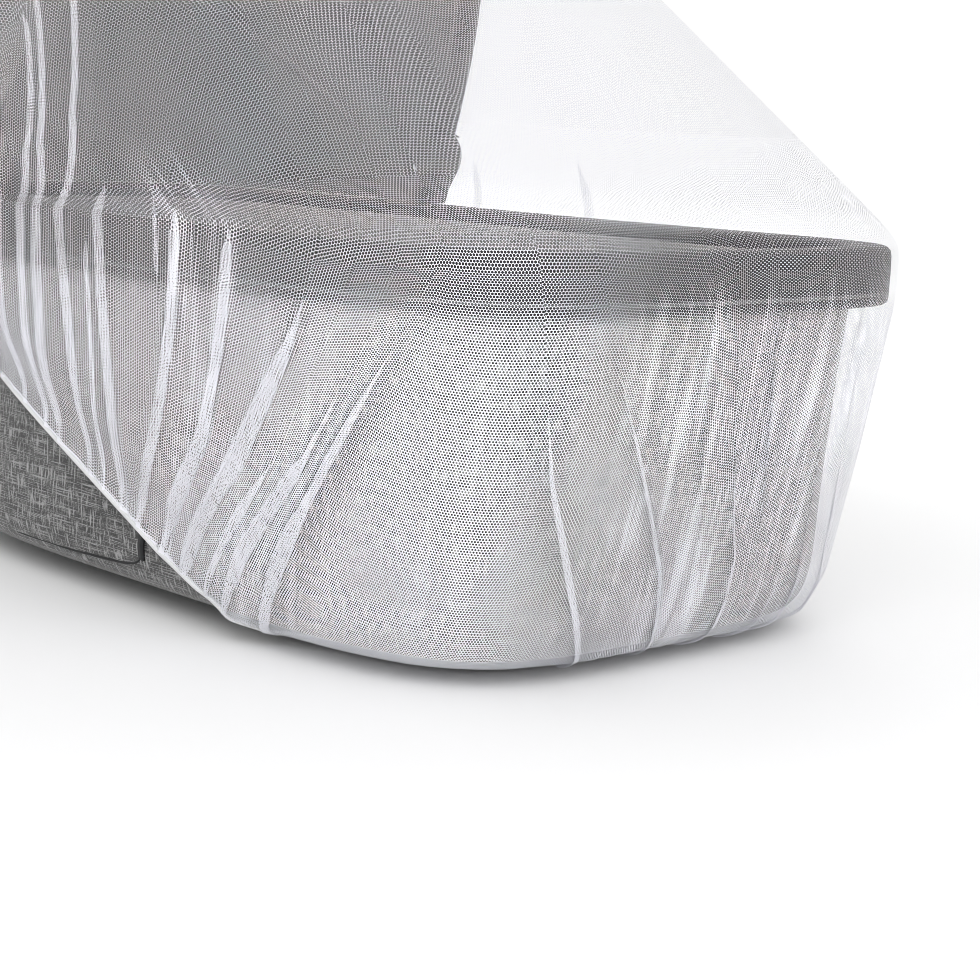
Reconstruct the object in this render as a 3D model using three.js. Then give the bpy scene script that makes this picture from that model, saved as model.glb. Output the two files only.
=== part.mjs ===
// Stroller mosquito net draped over a hooded carrycot, in millimetres, +Z up.
// +X is the foot end and -Y the near side.
// The origin is the middle of the flat base, on the surface it stands on.

import * as THREE from 'three';
import { mergeVertices } from 'three/addons/utils/BufferGeometryUtils.js';

// Carrycot: overall outline at the rim, and how square its two ends are
const HALF_LENGTH = 395;
const HALF_WIDTH = 215;
const FOOT_SQUARENESS = 4.5;
const HEAD_SQUARENESS = 3;
const RIM_TOP = 262;
const RIM_BOTTOM = 224;
const RIM_RISE = 4;
const RISE_START = 130;
const SEAT_GAP = 0.3;
const OUTLINE_STEPS = 54;

// Hood: where its bow turns, how it leans and how high it stands over the rim
const HINGE_X = -140;
const HINGE_Y = 201;
const HINGE_Z = 302;
const HINGE_HEAD_RADIUS = 20;
const HINGE_THICKNESS = 20;
const STEM_HALF_WIDTH = 15;
const STEM_HEIGHT = 12;
const SOCKET_Z = HINGE_Z + HINGE_HEAD_RADIUS;
const BOW_LEAN = THREE.MathUtils.degToRad(20);
const BOW_SQUARENESS = 2.6;
const BOW_TUBE_RADIUS = 10;
const BOW_SIDES = 7;
const BOW_HEIGHT = 319;
const HOOD_HEIGHT = 329;
const HOOD_INSET = 9;
const HOOD_THICKNESS = 4;
const HOOD_SETBACK = 11.2;
const HOOD_ROUNDNESS = 2.2;
const HOOD_START = 0.077;
const HOOD_ACROSS_STEPS = 24;
const HOOD_BACK_STEPS = 9;
const RIB_RADIUS = 3.5;
const RIB_SIDES = 5;
const RIBS = [
  { name: 'hood_rib_middle', row: 3 },
  { name: 'hood_rib_rear', row: 6 },
];

// Net: a thin sheet that stands off the rim, and the elastic in its edge
const NET_THICKNESS = 1.6;
const NET_CLEARANCE = 4;
const NET_RIM = 265;
const NET_BOW_HEIGHT = 334;
const NET_FILLER_SPACING = 32;
const ELASTIC_RADIUS = 2;
const ELASTIC_SIDES = 5;
const ELASTIC_GAP = 0.5;
const HEM_TURN_X = 165;
const HEM_TUCKED_X = 235;
const HEM_TURN_Z = 16;
const HEM_SLOPE = 0.385;
const HEM_HIGHEST = 206;
const HEM_HUG = 2.4;
const HEM_HUG_HEIGHT = 60;
const HEM_STRAIGHT = 8;
const HEAD_PLEAT_SHARE = 0.8;
const UNDERSIDE_PLEAT_SHARE = 0.35;

// The tub's wall, from the floor up: how far it stands in from the rim at the foot and at the sides
const TUB_OUTSIDE = [
  { foot: 92, side: 50, z: 12.3 },
  { foot: 68, side: 28, z: 17 },
  { foot: 51, side: 13, z: 30 },
  { foot: 45, side: 10, z: 48 },
  { foot: 36, side: 14, z: 128 },
  { foot: 22, side: 20, z: RIM_BOTTOM - SEAT_GAP },
];
const TUB_WALL = 8;
const TUB_FLOOR = 24;

// The rim band's section, from its lower inner corner round the outside
const RIM_SECTION = [
  { inset: 27, z: RIM_BOTTOM },
  { inset: 2, z: RIM_BOTTOM },
  { inset: 0, z: RIM_BOTTOM + 3 },
  { inset: 0, z: RIM_TOP - 6 },
  { inset: 2, z: RIM_TOP - 2 },
  { inset: 6, z: RIM_TOP },
  { inset: 21, z: RIM_TOP },
  { inset: 27, z: RIM_TOP - 5 },
];

// The net's fall from the rim to its tucked hem, as far as it goes where the cloth is longest
const NET_FALL = [
  { foot: 0, side: 0, z: NET_RIM },
  { foot: 0, side: 0, z: 226 },
  { foot: 20, side: 3, z: 130 },
  { foot: 40, side: 7, z: 42 },
  { foot: 52, side: 15, z: HEM_TURN_Z },
  { foot: 72, side: 34, z: 8.5 },
  { foot: 92, side: 52, z: 8.5 },
];

// Pleats, by distance along the rim from the near hinge round the foot: where each crosses the rim,
// the middle of the fall and the hem, its width and height, and how far up the tent it runs
const PLEATS = [
  { rim: 26, middle: 27, hem: 30, width: 14, height: 4, above: 0.6 },
  { rim: 66, middle: 68, hem: 72, width: 16, height: 5, above: 0.9 },
  { rim: 178, middle: 177, hem: 179, width: 15, height: 5, above: 0.3 },
  { rim: 243, middle: 224, hem: 198, width: 16, height: 6, above: 0.4 },
  { rim: 302, middle: 273, hem: 232, width: 18, height: 7, above: 0.3 },
  { rim: 372, middle: 312, hem: 252, width: 15, height: 6, above: 0 },
  { rim: 422, middle: 366, hem: 306, width: 16, height: 5, above: 0 },
  { rim: 449, middle: 394, hem: 342, width: 15, height: 6, above: 0.1 },
  { rim: 528, middle: 556, hem: 594, width: 15, height: 5, above: 0 },
  { rim: 584, middle: 624, hem: 658, width: 13, height: 5, above: 0 },
  { rim: 694, middle: 710, hem: 721, width: 13, height: 5, above: 0.1 },
  { rim: 742, middle: 753, hem: 763, width: 15, height: 5, above: 0.2 },
  { rim: 786, middle: 795, hem: 802, width: 16, height: 6, above: 0.4 },
  { rim: 930, middle: 962, hem: 1001, width: 16, height: 6, above: 0.1 },
  { rim: 978, middle: 1030, hem: 1077, width: 15, height: 5, above: 0 },
  { rim: 1050, middle: 1102, hem: 1148, width: 17, height: 6, above: 0.2 },
  { rim: 1215, middle: 1217, hem: 1215, width: 16, height: 6, above: 0.3 },
  { rim: 1344, middle: 1342, hem: 1340, width: 15, height: 5, above: 0.8 },
];

// Rows of the net: shares of the way from the bow to the foot rim, from the bow to the head rim,
// and from the rim to the hem
const TENT_ROWS = [0.25, 0.5, 0.74, 0.92];
const HOOD_ROWS = [0.16, 0.32, 0.47, 0.62, 0.76, 0.9];
const FALL_ROWS = [0, 0.17, 0.36, 0.54, 0.66, 0.74, 0.81, 0.87, 0.93, 1];

const COLOURS = {
  net: 0xf4f5f6,
  grey_cloth: 0x8d8f92,
  dark_trim: 0x2c2e31,
  hood_cloth: 0x55575b,
  hood_frame: 0x26282a,
  base: 0x3a3c3f,
};

// Helpers for numbers and outlines

const mix = THREE.MathUtils.lerp;
const clamp = THREE.MathUtils.clamp;

function signedPower(value, power) {
  return Math.sign(value) * Math.abs(value) ** power;
}

function riseAt(x, z) {
  const share = clamp((z - RISE_START) / (RIM_BOTTOM - RISE_START), 0, 1);
  return share * RIM_RISE * (x / HALF_LENGTH) ** 2;
}

function outlinePoint(angle, halfX, halfY) {
  const squareness = Math.cos(angle) > 0 ? FOOT_SQUARENESS : HEAD_SQUARENESS;
  const x = halfX * signedPower(Math.cos(angle), 2 / squareness);
  const y = halfY * signedPower(Math.sin(angle), 2 / squareness);
  return new THREE.Vector3(x, y, 0);
}

// A run of points that can be read at any distance along it
function makePath(points) {
  const distances = [0];
  for (let i = 1; i < points.length; i += 1) {
    distances.push(distances[i - 1] + points[i].distanceTo(points[i - 1]));
  }
  return { points, distances, length: distances[distances.length - 1] };
}

function pathPoint(path, distance) {
  const wanted = clamp(distance, 0, path.length);
  let low = 0;
  let high = path.distances.length - 1;
  while (high - low > 1) {
    const middle = (low + high) >> 1;
    if (path.distances[middle] > wanted) high = middle;
    else low = middle;
  }
  const share = (wanted - path.distances[low]) / (path.distances[high] - path.distances[low]);
  return path.points[low].clone().lerp(path.points[high], share);
}

function outlineArc(fromAngle, toAngle, halfX, halfY) {
  const steps = 1440;
  const points = [];
  for (let i = 0; i <= steps; i += 1) {
    points.push(outlinePoint(mix(fromAngle, toAngle, i / steps), halfX, halfY));
  }
  return makePath(points);
}

// A value read from a table's column, at a place given by row number
function tableValue(table, column, place) {
  const low = Math.min(Math.floor(place), table.length - 2);
  return mix(table[low][column], table[low + 1][column], place - low);
}

// Helpers for closed solids

// Makes one closed body, with equal corners merged and its faces turned outwards
function closedGeometry(points, triangles) {
  const loose = new THREE.BufferGeometry();
  const positions = points.flatMap((point) => [point.x, point.y, point.z]);
  loose.setAttribute('position', new THREE.Float32BufferAttribute(positions, 3));
  loose.setIndex(triangles.flat());
  const merged = mergeVertices(loose, 1e-3);
  merged.setIndex(keptTriangles(merged));
  if (signedVolume(merged) < 0) turnFaces(merged);
  merged.computeVertexNormals();
  return merged;
}

function keptTriangles(geometry) {
  const index = Array.from(geometry.index.array);
  const kept = [];
  for (let i = 0; i < index.length; i += 3) {
    const [a, b, c] = index.slice(i, i + 3);
    if (a !== b && b !== c && c !== a) kept.push(a, b, c);
  }
  return kept;
}

function signedVolume(geometry) {
  const position = geometry.attributes.position;
  const corners = [0, 1, 2].map(() => new THREE.Vector3());
  let total = 0;
  for (let i = 0; i < geometry.index.count; i += 3) {
    corners.forEach((corner, k) => corner.fromBufferAttribute(position, geometry.index.getX(i + k)));
    total += corners[0].dot(corners[1].clone().cross(corners[2])) / 6;
  }
  return total;
}

function turnFaces(geometry) {
  const index = geometry.index.array;
  for (let i = 0; i < index.length; i += 3) {
    [index[i + 1], index[i + 2]] = [index[i + 2], index[i + 1]];
  }
}

// Joins rings of equal length into a skin; a loop of rings closes on itself, a stack gets two end caps
function ringSolid(rings, isLoop) {
  const count = rings[0].length;
  const points = rings.flat();
  const triangles = [];
  const bands = isLoop ? rings.length : rings.length - 1;
  for (let r = 0; r < bands; r += 1) {
    const lower = r * count;
    const upper = ((r + 1) % rings.length) * count;
    for (let k = 0; k < count; k += 1) {
      const next = (k + 1) % count;
      triangles.push([lower + k, lower + next, upper + next]);
      triangles.push([lower + k, upper + next, upper + k]);
    }
  }
  if (!isLoop) {
    capRing(points, triangles, 0, count, true);
    capRing(points, triangles, (rings.length - 1) * count, count, false);
  }
  return closedGeometry(points, triangles);
}

function capRing(points, triangles, start, count, isFirst) {
  const centre = new THREE.Vector3();
  for (let k = 0; k < count; k += 1) centre.addScaledVector(points[start + k], 1 / count);
  const middle = points.push(centre) - 1;
  for (let k = 0; k < count; k += 1) {
    const here = start + k;
    const next = start + ((k + 1) % count);
    triangles.push(isFirst ? [here, middle, next] : [here, next, middle]);
  }
}

// A ring of the cot's outline, evenly spaced, at a height and set in from the rim
function cotRing(foot, side, z) {
  const path = outlineArc(-Math.PI, Math.PI, HALF_LENGTH - foot, HALF_WIDTH - side);
  const ring = [];
  for (let k = 0; k < OUTLINE_STEPS; k += 1) {
    const point = pathPoint(path, (k / OUTLINE_STEPS) * path.length);
    ring.push(point.setZ(z + riseAt(point.x, z)));
  }
  return ring;
}

// The carrycot

function makeBase() {
  const rows = [
    { foot: 134, side: 84, z: 0 },
    { foot: 128, side: 78, z: 3 },
    { foot: 128, side: 78, z: 12 },
  ];
  return ringSolid(rows.map((row) => cotRing(row.foot, row.side, row.z)), false);
}

function makeTub() {
  const outside = TUB_OUTSIDE.map((row) => cotRing(row.foot, row.side, row.z));
  const inside = TUB_OUTSIDE.slice(3).reverse();
  const rings = inside.map((row) => cotRing(row.foot + TUB_WALL, row.side + TUB_WALL, row.z));
  const floor = cotRing(TUB_OUTSIDE[0].foot, TUB_OUTSIDE[0].side, TUB_FLOOR);
  return ringSolid([...outside, ...rings, floor], false);
}

function makeRim() {
  return ringSolid(RIM_SECTION.map((row) => cotRing(row.inset, row.inset, row.z)), true);
}

// The hood

// An upright arch over the cot that leans to the foot as it rises
function archPath(halfSpan, footZ, height, setback = 0) {
  const steps = 360;
  const points = [];
  for (let i = 0; i <= steps; i += 1) {
    const angle = (i / steps) * Math.PI;
    const y = -halfSpan * signedPower(Math.cos(angle), 2 / BOW_SQUARENESS);
    const rise = height * Math.abs(Math.sin(angle)) ** (2 / BOW_SQUARENESS);
    points.push(new THREE.Vector3(leanX(footZ + rise) - setback, y, footZ + rise));
  }
  return makePath(points);
}

function leanX(z) {
  return HINGE_X + Math.tan(BOW_LEAN) * (z - NET_RIM);
}

// Half of the rim from the near hinge to the far one, round the head or the foot
function rimArc(halfX, halfY, isFoot) {
  const hingeAngle = Math.acos(-((-HINGE_X / halfX) ** (HEAD_SQUARENESS / 2)));
  const endAngle = isFoot ? hingeAngle : hingeAngle - 2 * Math.PI;
  return outlineArc(-hingeAngle, endAngle, halfX, halfY);
}

// A point of a dome that springs from the rim and rises to the arch
function domePoint(dome, across, back) {
  const bow = pathPoint(dome.arch, across * dome.arch.length);
  const rim = pathPoint(dome.rim, across * dome.rim.length);
  const reach = Math.sin((back * Math.PI) / 2) ** (2 / HOOD_ROUNDNESS);
  const rise = Math.max(Math.cos((back * Math.PI) / 2), 0) ** (2 / HOOD_ROUNDNESS);
  const rimZ = dome.rimZ + riseAt(rim.x, dome.rimZ);
  return new THREE.Vector3(mix(bow.x, rim.x, reach), mix(rim.y, bow.y, rise), mix(rimZ, bow.z, rise));
}

function hoodDome(depth) {
  const inset = HOOD_INSET + depth;
  const rimZ = RIM_TOP + SEAT_GAP;
  return {
    arch: archPath(HALF_WIDTH - inset, rimZ, HOOD_HEIGHT - depth, HOOD_SETBACK),
    rim: rimArc(HALF_LENGTH - inset, HALF_WIDTH - inset, false),
    rimZ,
  };
}

function hoodShare(step) {
  return mix(HOOD_START, 1 - HOOD_START, step / HOOD_ACROSS_STEPS);
}

function makeHoodShell() {
  const outer = hoodDome(0);
  const inner = hoodDome(HOOD_THICKNESS);
  const rings = [];
  for (let r = 0; r <= HOOD_BACK_STEPS; r += 1) {
    const back = r / HOOD_BACK_STEPS;
    const ring = [];
    for (let k = 0; k <= HOOD_ACROSS_STEPS; k += 1) ring.push(domePoint(outer, hoodShare(k), back));
    for (let k = HOOD_ACROSS_STEPS; k >= 0; k -= 1) ring.push(domePoint(inner, hoodShare(k), back));
    rings.push(ring);
  }
  return openSkinSolid(rings);
}

// Joins rings that each run out along one face of a sheet and back along the other
function openSkinSolid(rings) {
  const count = rings[0].length;
  const points = rings.flat();
  const triangles = [];
  for (let r = 0; r + 1 < rings.length; r += 1) {
    for (let k = 0; k < count; k += 1) {
      const next = (k + 1) % count;
      triangles.push([r * count + k, r * count + next, (r + 1) * count + next]);
      triangles.push([r * count + k, (r + 1) * count + next, (r + 1) * count + k]);
    }
  }
  const last = (rings.length - 1) * count;
  for (let k = 0; k + 1 < count / 2; k += 1) {
    const opposite = count - 1 - k;
    const next = k + 1;
    const before = opposite - 1;
    triangles.push([next, k, opposite], [next, opposite, before]);
    triangles.push([last + k, last + next, last + before], [last + k, last + before, last + opposite]);
  }
  return closedGeometry(points, triangles);
}

// A bar of round section along a run of points
function barSolid(points, radius, sides) {
  const rings = points.map((point, i) => {
    const before = points[Math.max(i - 1, 0)];
    const after = points[Math.min(i + 1, points.length - 1)];
    const along = after.clone().sub(before).normalize();
    return sectionRing(point, along, radius, sides);
  });
  return ringSolid(rings, false);
}

function sectionRing(centre, along, radius, sides) {
  const sideways = new THREE.Vector3(1, 0, 0).addScaledVector(along, -along.x).normalize();
  const upward = along.clone().cross(sideways);
  const ring = [];
  for (let k = 0; k < sides; k += 1) {
    const angle = (k / sides) * 2 * Math.PI;
    const point = centre.clone().addScaledVector(sideways, Math.cos(angle) * radius);
    ring.push(point.addScaledVector(upward, Math.sin(angle) * radius));
  }
  return ring;
}

// The bow starts on the hinge's socket and follows its arch over to the other one
function makeBow() {
  const path = archPath(HINGE_Y, NET_RIM, BOW_HEIGHT);
  const start = (SOCKET_Z - NET_RIM) / Math.cos(BOW_LEAN) + 2 * SEAT_GAP;
  const steps = 30;
  const points = [];
  for (let i = 0; i <= steps; i += 1) {
    points.push(pathPoint(path, mix(start, path.length - start, i / steps)));
  }
  return barSolid(points, BOW_TUBE_RADIUS, BOW_SIDES);
}

function makeRib(row) {
  const dome = hoodDome(HOOD_THICKNESS + RIB_RADIUS + SEAT_GAP);
  const points = [];
  for (let k = 0; k <= HOOD_ACROSS_STEPS; k += 1) {
    points.push(domePoint(dome, hoodShare(k), row / HOOD_BACK_STEPS));
  }
  return barSolid(points, RIB_RADIUS, RIB_SIDES);
}

// The hinge in side view: a stem on the rim, leaning with the bow, under a round head with a flat socket
function makeHinge() {
  const footZ = RIM_TOP + riseAt(HINGE_X, RIM_TOP) + SEAT_GAP;
  const stemShift = STEM_HEIGHT * Math.tan(BOW_LEAN);
  const shape = new THREE.Shape();
  shape.moveTo(HINGE_X - STEM_HALF_WIDTH, footZ);
  shape.lineTo(HINGE_X + STEM_HALF_WIDTH, footZ);
  shape.lineTo(HINGE_X + STEM_HALF_WIDTH + stemShift, footZ + STEM_HEIGHT);
  addHeadArc(shape, -0.2 * Math.PI, 0.34 * Math.PI);
  const socketX = BOW_TUBE_RADIUS * Math.cos(BOW_LEAN);
  const socketZ = BOW_TUBE_RADIUS * Math.sin(BOW_LEAN);
  shape.lineTo(leanX(SOCKET_Z) + socketX, SOCKET_Z - socketZ);
  shape.lineTo(leanX(SOCKET_Z) - socketX, SOCKET_Z + socketZ);
  addHeadArc(shape, 0.66 * Math.PI, 1.2 * Math.PI);
  shape.lineTo(HINGE_X - STEM_HALF_WIDTH + stemShift, footZ + STEM_HEIGHT);
  const block = new THREE.ExtrudeGeometry(shape, { depth: HINGE_THICKNESS, bevelEnabled: false });
  block.translate(0, 0, -HINGE_THICKNESS / 2);
  block.rotateX(Math.PI / 2);
  return block;
}

function addHeadArc(shape, fromAngle, toAngle) {
  const steps = 12;
  for (let i = 0; i <= steps; i += 1) {
    const angle = mix(fromAngle, toAngle, i / steps);
    const x = leanX(HINGE_Z) + Math.cos(angle) * HINGE_HEAD_RADIUS;
    shape.lineTo(x, HINGE_Z + Math.sin(angle) * HINGE_HEAD_RADIUS);
  }
}

// The net

const netTent = {
  arch: archPath(HALF_WIDTH + NET_CLEARANCE, NET_RIM + riseAt(HINGE_X, NET_RIM), NET_BOW_HEIGHT),
  foot: rimArc(HALF_LENGTH + NET_CLEARANCE, HALF_WIDTH + NET_CLEARANCE, true),
  rim: rimArc(HALF_LENGTH + NET_CLEARANCE, HALF_WIDTH + NET_CLEARANCE, false),
  rimZ: NET_RIM,
};

// Columns of the net: three for each pleat, and plain ones between them
function netColumns() {
  const pleated = [];
  for (const pleat of PLEATS) {
    for (const side of [-1, 0, 1]) {
      const shift = (side * pleat.width) / 2;
      const lift = side === 0 ? pleat.height : 0;
      const places = { rim: pleat.rim + shift, middle: pleat.middle + shift, hem: pleat.hem + shift };
      pleated.push({ ...places, lift, above: pleat.above });
    }
  }
  const end = netTent.foot.length;
  const first = { rim: 0, middle: 0, hem: 0, lift: 0, above: 0 };
  const last = { rim: end, middle: end, hem: end, lift: 0, above: 0 };
  return withFillers([first, ...pleated, last]);
}

function withFillers(columns) {
  const filled = [columns[0]];
  for (let i = 1; i < columns.length; i += 1) {
    const before = columns[i - 1];
    const after = columns[i];
    const pieces = Math.max(1, Math.round((after.rim - before.rim) / NET_FILLER_SPACING));
    for (let k = 1; k < pieces; k += 1) filled.push(columnBetween(before, after, k / pieces));
    filled.push(after);
  }
  return filled;
}

function columnBetween(before, after, share) {
  return {
    rim: mix(before.rim, after.rim, share),
    middle: mix(before.middle, after.middle, share),
    hem: mix(before.hem, after.hem, share),
    lift: 0,
    above: 0,
  };
}

// How far down NET_FALL the cloth reaches: tucked under at the foot, and climbing to the rim at the head
function fallEnd(x) {
  const tucked = NET_FALL.length - 1;
  const turn = NET_FALL.findIndex((row) => row.z === HEM_TURN_Z);
  if (x > HEM_TURN_X) return mix(turn, tucked, clamp((x - HEM_TURN_X) / (HEM_TUCKED_X - HEM_TURN_X), 0, 1));
  const z = Math.min(HEM_TURN_Z + (HEM_TURN_X - x) * HEM_SLOPE, HEM_HIGHEST);
  let row = 0;
  while (NET_FALL[row + 1].z > z) row += 1;
  return row + (NET_FALL[row].z - z) / (NET_FALL[row].z - NET_FALL[row + 1].z);
}

// Where the climbing hem lies against the tub, as an inset from the net's own rim
function hugInset(column, z) {
  let row = 0;
  while (row < TUB_OUTSIDE.length - 2 && TUB_OUTSIDE[row + 1].z < z) row += 1;
  const share = (z - TUB_OUTSIDE[row].z) / (TUB_OUTSIDE[row + 1].z - TUB_OUTSIDE[row].z);
  const wall = tableValue(TUB_OUTSIDE, column, row + clamp(share, 0, 1));
  return wall + NET_CLEARANCE - NET_THICKNESS / 2 - HEM_HUG;
}

function fallPoint(column, share, isFoot) {
  const path = isFoot ? netTent.foot : netTent.rim;
  const scale = path.length / netTent.foot.length;
  const upper = mix(column.rim, column.middle, clamp(share * 2, 0, 1));
  const along = share < 0.5 ? upper : mix(column.middle, column.hem, share * 2 - 1);
  const place = isFoot ? along : column.rim;
  const rim = pathPoint(path, place * scale);
  const end = fallEnd(rim.x);
  const row = end * share;
  const z = tableValue(NET_FALL, 'z', row);
  const endZ = tableValue(NET_FALL, 'z', end);
  const climb = clamp((endZ - HEM_TURN_Z) / HEM_TURN_Z, 0, 1);
  const hugStart = Math.min(endZ + HEM_HUG_HEIGHT, RIM_BOTTOM - NET_THICKNESS);
  const hug = climb * (1 - THREE.MathUtils.smoothstep(z, endZ + HEM_STRAIGHT, hugStart));
  const footInset = mix(tableValue(NET_FALL, 'foot', row), hugInset('foot', z), hug);
  const sideInset = mix(tableValue(NET_FALL, 'side', row), hugInset('side', z), hug);
  const x = rim.x * (1 - footInset / (HALF_LENGTH + NET_CLEARANCE));
  const y = rim.y * (1 - sideInset / (HALF_WIDTH + NET_CLEARANCE));
  return new THREE.Vector3(x, y, z + riseAt(rim.x, z));
}

function tentPoint(column, share) {
  const across = column.rim / netTent.foot.length;
  const bow = pathPoint(netTent.arch, across * netTent.arch.length);
  const rim = pathPoint(netTent.foot, column.rim);
  rim.setZ(NET_RIM + riseAt(rim.x, NET_RIM));
  return bow.lerp(rim, share);
}

// How much of a pleat's height shows above the rim and down the fall
function liftAbove(column, share) {
  if (column.above === 0) return 0;
  return column.lift * clamp(1 - (1 - share) / column.above, 0, 1);
}

function liftBelow(column, share) {
  const start = column.above > 0 ? 1 : THREE.MathUtils.smoothstep(share, 0.05, 0.3);
  const underside = mix(1, UNDERSIDE_PLEAT_SHARE, THREE.MathUtils.smoothstep(share, 0.85, 1));
  return column.lift * start * underside;
}

// The sheet's middle surface: rows from the foot hem over the bow to the head hem
function netRows() {
  const columns = netColumns();
  const footFall = FALL_ROWS.map((share) => columns.map((column) => (
    { point: fallPoint(column, share, true), lift: liftBelow(column, share) })));
  const headFall = FALL_ROWS.map((share) => columns.map((column) => (
    { point: fallPoint(column, share, false), lift: HEAD_PLEAT_SHARE * liftBelow(column, share) })));
  const tent = TENT_ROWS.map((share) => columns.map((column) => (
    { point: tentPoint(column, share), lift: liftAbove(column, share) })));
  const bow = columns.map((column) => ({ point: tentPoint(column, 0), lift: 0 }));
  const hood = HOOD_ROWS.map((share) => columns.map((column) => (
    { point: domePoint(netTent, column.rim / netTent.foot.length, share), lift: liftAbove(column, share) })));
  return [...footFall.reverse(), ...tent.reverse(), bow, ...hood, ...headFall];
}

// The rows above the rim start and end at the hinges, so their end points close up to one
function netGrid() {
  const rows = netRows();
  const hemRows = FALL_ROWS.length - 1;
  const near = rows[hemRows][0];
  const far = rows[hemRows][rows[0].length - 1];
  for (let r = hemRows; r < rows.length - hemRows; r += 1) {
    rows[r][0] = near;
    rows[r][rows[r].length - 1] = far;
  }
  return rows;
}

function gridTriangles(rowCount, columnCount) {
  const triangles = [];
  for (let r = 0; r + 1 < rowCount; r += 1) {
    for (let k = 0; k + 1 < columnCount; k += 1) {
      const corner = r * columnCount + k;
      const above = corner + columnCount;
      triangles.push([corner, corner + 1, above + 1], [corner, above + 1, above]);
    }
  }
  return triangles;
}

// The hem runs along the first row, and back along the last one
function hemLoop(rowCount, columnCount) {
  const loop = [];
  for (let k = 0; k < columnCount; k += 1) loop.push(k);
  for (let k = columnCount - 2; k > 0; k -= 1) loop.push((rowCount - 1) * columnCount + k);
  return loop;
}

function makeNet() {
  const rows = netGrid();
  const columnCount = rows[0].length;
  const cells = rows.flat();
  const triangles = gridTriangles(rows.length, columnCount);
  const normals = cellNormals(cells, triangles);
  const half = NET_THICKNESS / 2;
  const offset = (cell, i, side) => cell.point.clone().addScaledVector(normals[i], cell.lift + side * half);
  const outer = cells.map((cell, i) => offset(cell, i, 1));
  const inner = cells.map((cell, i) => offset(cell, i, -1));
  const shift = cells.length;
  const back = triangles.map(([a, b, c]) => [a + shift, c + shift, b + shift]);
  const loop = hemLoop(rows.length, columnCount);
  const edge = loop.flatMap((here, i) => {
    const next = loop[(i + 1) % loop.length];
    return [[next, here, here + shift], [next, here + shift, next + shift]];
  });
  return closedGeometry([...outer, ...inner], [...triangles, ...back, ...edge]);
}

// Smooth normals of the middle surface, shared by cells at one place and turned outwards
function cellNormals(cells, triangles) {
  const sums = new Map();
  const key = (point) => [point.x, point.y, point.z].map((value) => value.toFixed(2)).join();
  for (const cell of cells) sums.set(key(cell.point), new THREE.Vector3());
  for (const triangle of triangles) {
    const [a, b, c] = triangle.map((i) => cells[i].point);
    const normal = b.clone().sub(a).cross(c.clone().sub(a));
    for (const corner of [a, b, c]) sums.get(key(corner)).add(normal);
  }
  const inside = new THREE.Vector3(0, 0, RIM_TOP / 2);
  const sample = cells[Math.floor(cells.length / 2)].point;
  const turn = Math.sign(sums.get(key(sample)).dot(sample.clone().sub(inside)));
  return cells.map((cell) => sums.get(key(cell.point)).clone().normalize().multiplyScalar(turn));
}

// The elastic follows the hem, just past the sheet's edge
function makeElastic() {
  const rows = netGrid();
  const columnCount = rows[0].length;
  const cells = rows.flat();
  const loop = hemLoop(rows.length, columnCount);
  const edge = loop.map((i) => cells[i].point);
  const before = loop.map((i) => cells[i < columnCount ? i + columnCount : i - columnCount].point);
  const centres = edge.map((point, i) => point.clone().add(awayFromSheet(edge, before, i)));
  return ringSolid(centres.map((centre, i) => elasticRing(centre, loopDirection(centres, i))), true);
}

function loopDirection(points, i) {
  const count = points.length;
  return points[(i + 1) % count].clone().sub(points[(i - 1 + count) % count]).normalize();
}

// The step from the sheet's edge to the middle of the elastic, square to the edge
function awayFromSheet(edge, before, i) {
  const along = loopDirection(edge, i);
  const away = edge[i].clone().sub(before[i]);
  away.addScaledVector(along, -away.dot(along));
  return away.setLength(ELASTIC_GAP + ELASTIC_RADIUS);
}

function elasticRing(centre, along) {
  const sideways = new THREE.Vector3(0, 0, 1).cross(along).normalize();
  const upward = along.clone().cross(sideways);
  const ring = [];
  for (let k = 0; k < ELASTIC_SIDES; k += 1) {
    const angle = ((k + 0.5) / ELASTIC_SIDES) * 2 * Math.PI;
    const point = centre.clone().addScaledVector(sideways, Math.cos(angle) * ELASTIC_RADIUS);
    ring.push(point.addScaledVector(upward, Math.sin(angle) * ELASTIC_RADIUS));
  }
  return ring;
}

// The whole part

function addPart(group, name, geometry, colour, roughness) {
  const material = new THREE.MeshStandardMaterial({ color: COLOURS[colour], roughness, metalness: 0 });
  const mesh = new THREE.Mesh(geometry, material);
  mesh.name = name;
  group.add(mesh);
  return mesh;
}

function buildPart() {
  const group = new THREE.Group();
  addPart(group, 'cot_base', makeBase(), 'base', 0.6);
  addPart(group, 'cot_tub', makeTub(), 'grey_cloth', 0.9);
  addPart(group, 'cot_rim', makeRim(), 'dark_trim', 0.45);
  addPart(group, 'hood_shell', makeHoodShell(), 'hood_cloth', 0.9);
  addPart(group, 'hood_bow', makeBow(), 'hood_frame', 0.5);
  for (const rib of RIBS) addPart(group, rib.name, makeRib(rib.row), 'hood_frame', 0.5);
  for (const [name, side] of [['hood_hinge_near', -1], ['hood_hinge_far', 1]]) {
    const hinge = addPart(group, name, makeHinge(), 'hood_frame', 0.5);
    hinge.position.y = side * HINGE_Y;
  }
  addPart(group, 'net_panel', makeNet(), 'net', 0.8);
  addPart(group, 'net_elastic', makeElastic(), 'net', 0.8);
  return group;
}

export default buildPart();
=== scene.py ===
# Looks of a stroller mosquito net draped over a hooded carrycot.
# Shapes are worked out in millimetres, in the frame's own axes, and turned into metres as each mesh is made.

import bmesh
import bpy
import math
import numpy as np
from mathutils import Matrix, Vector


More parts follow.
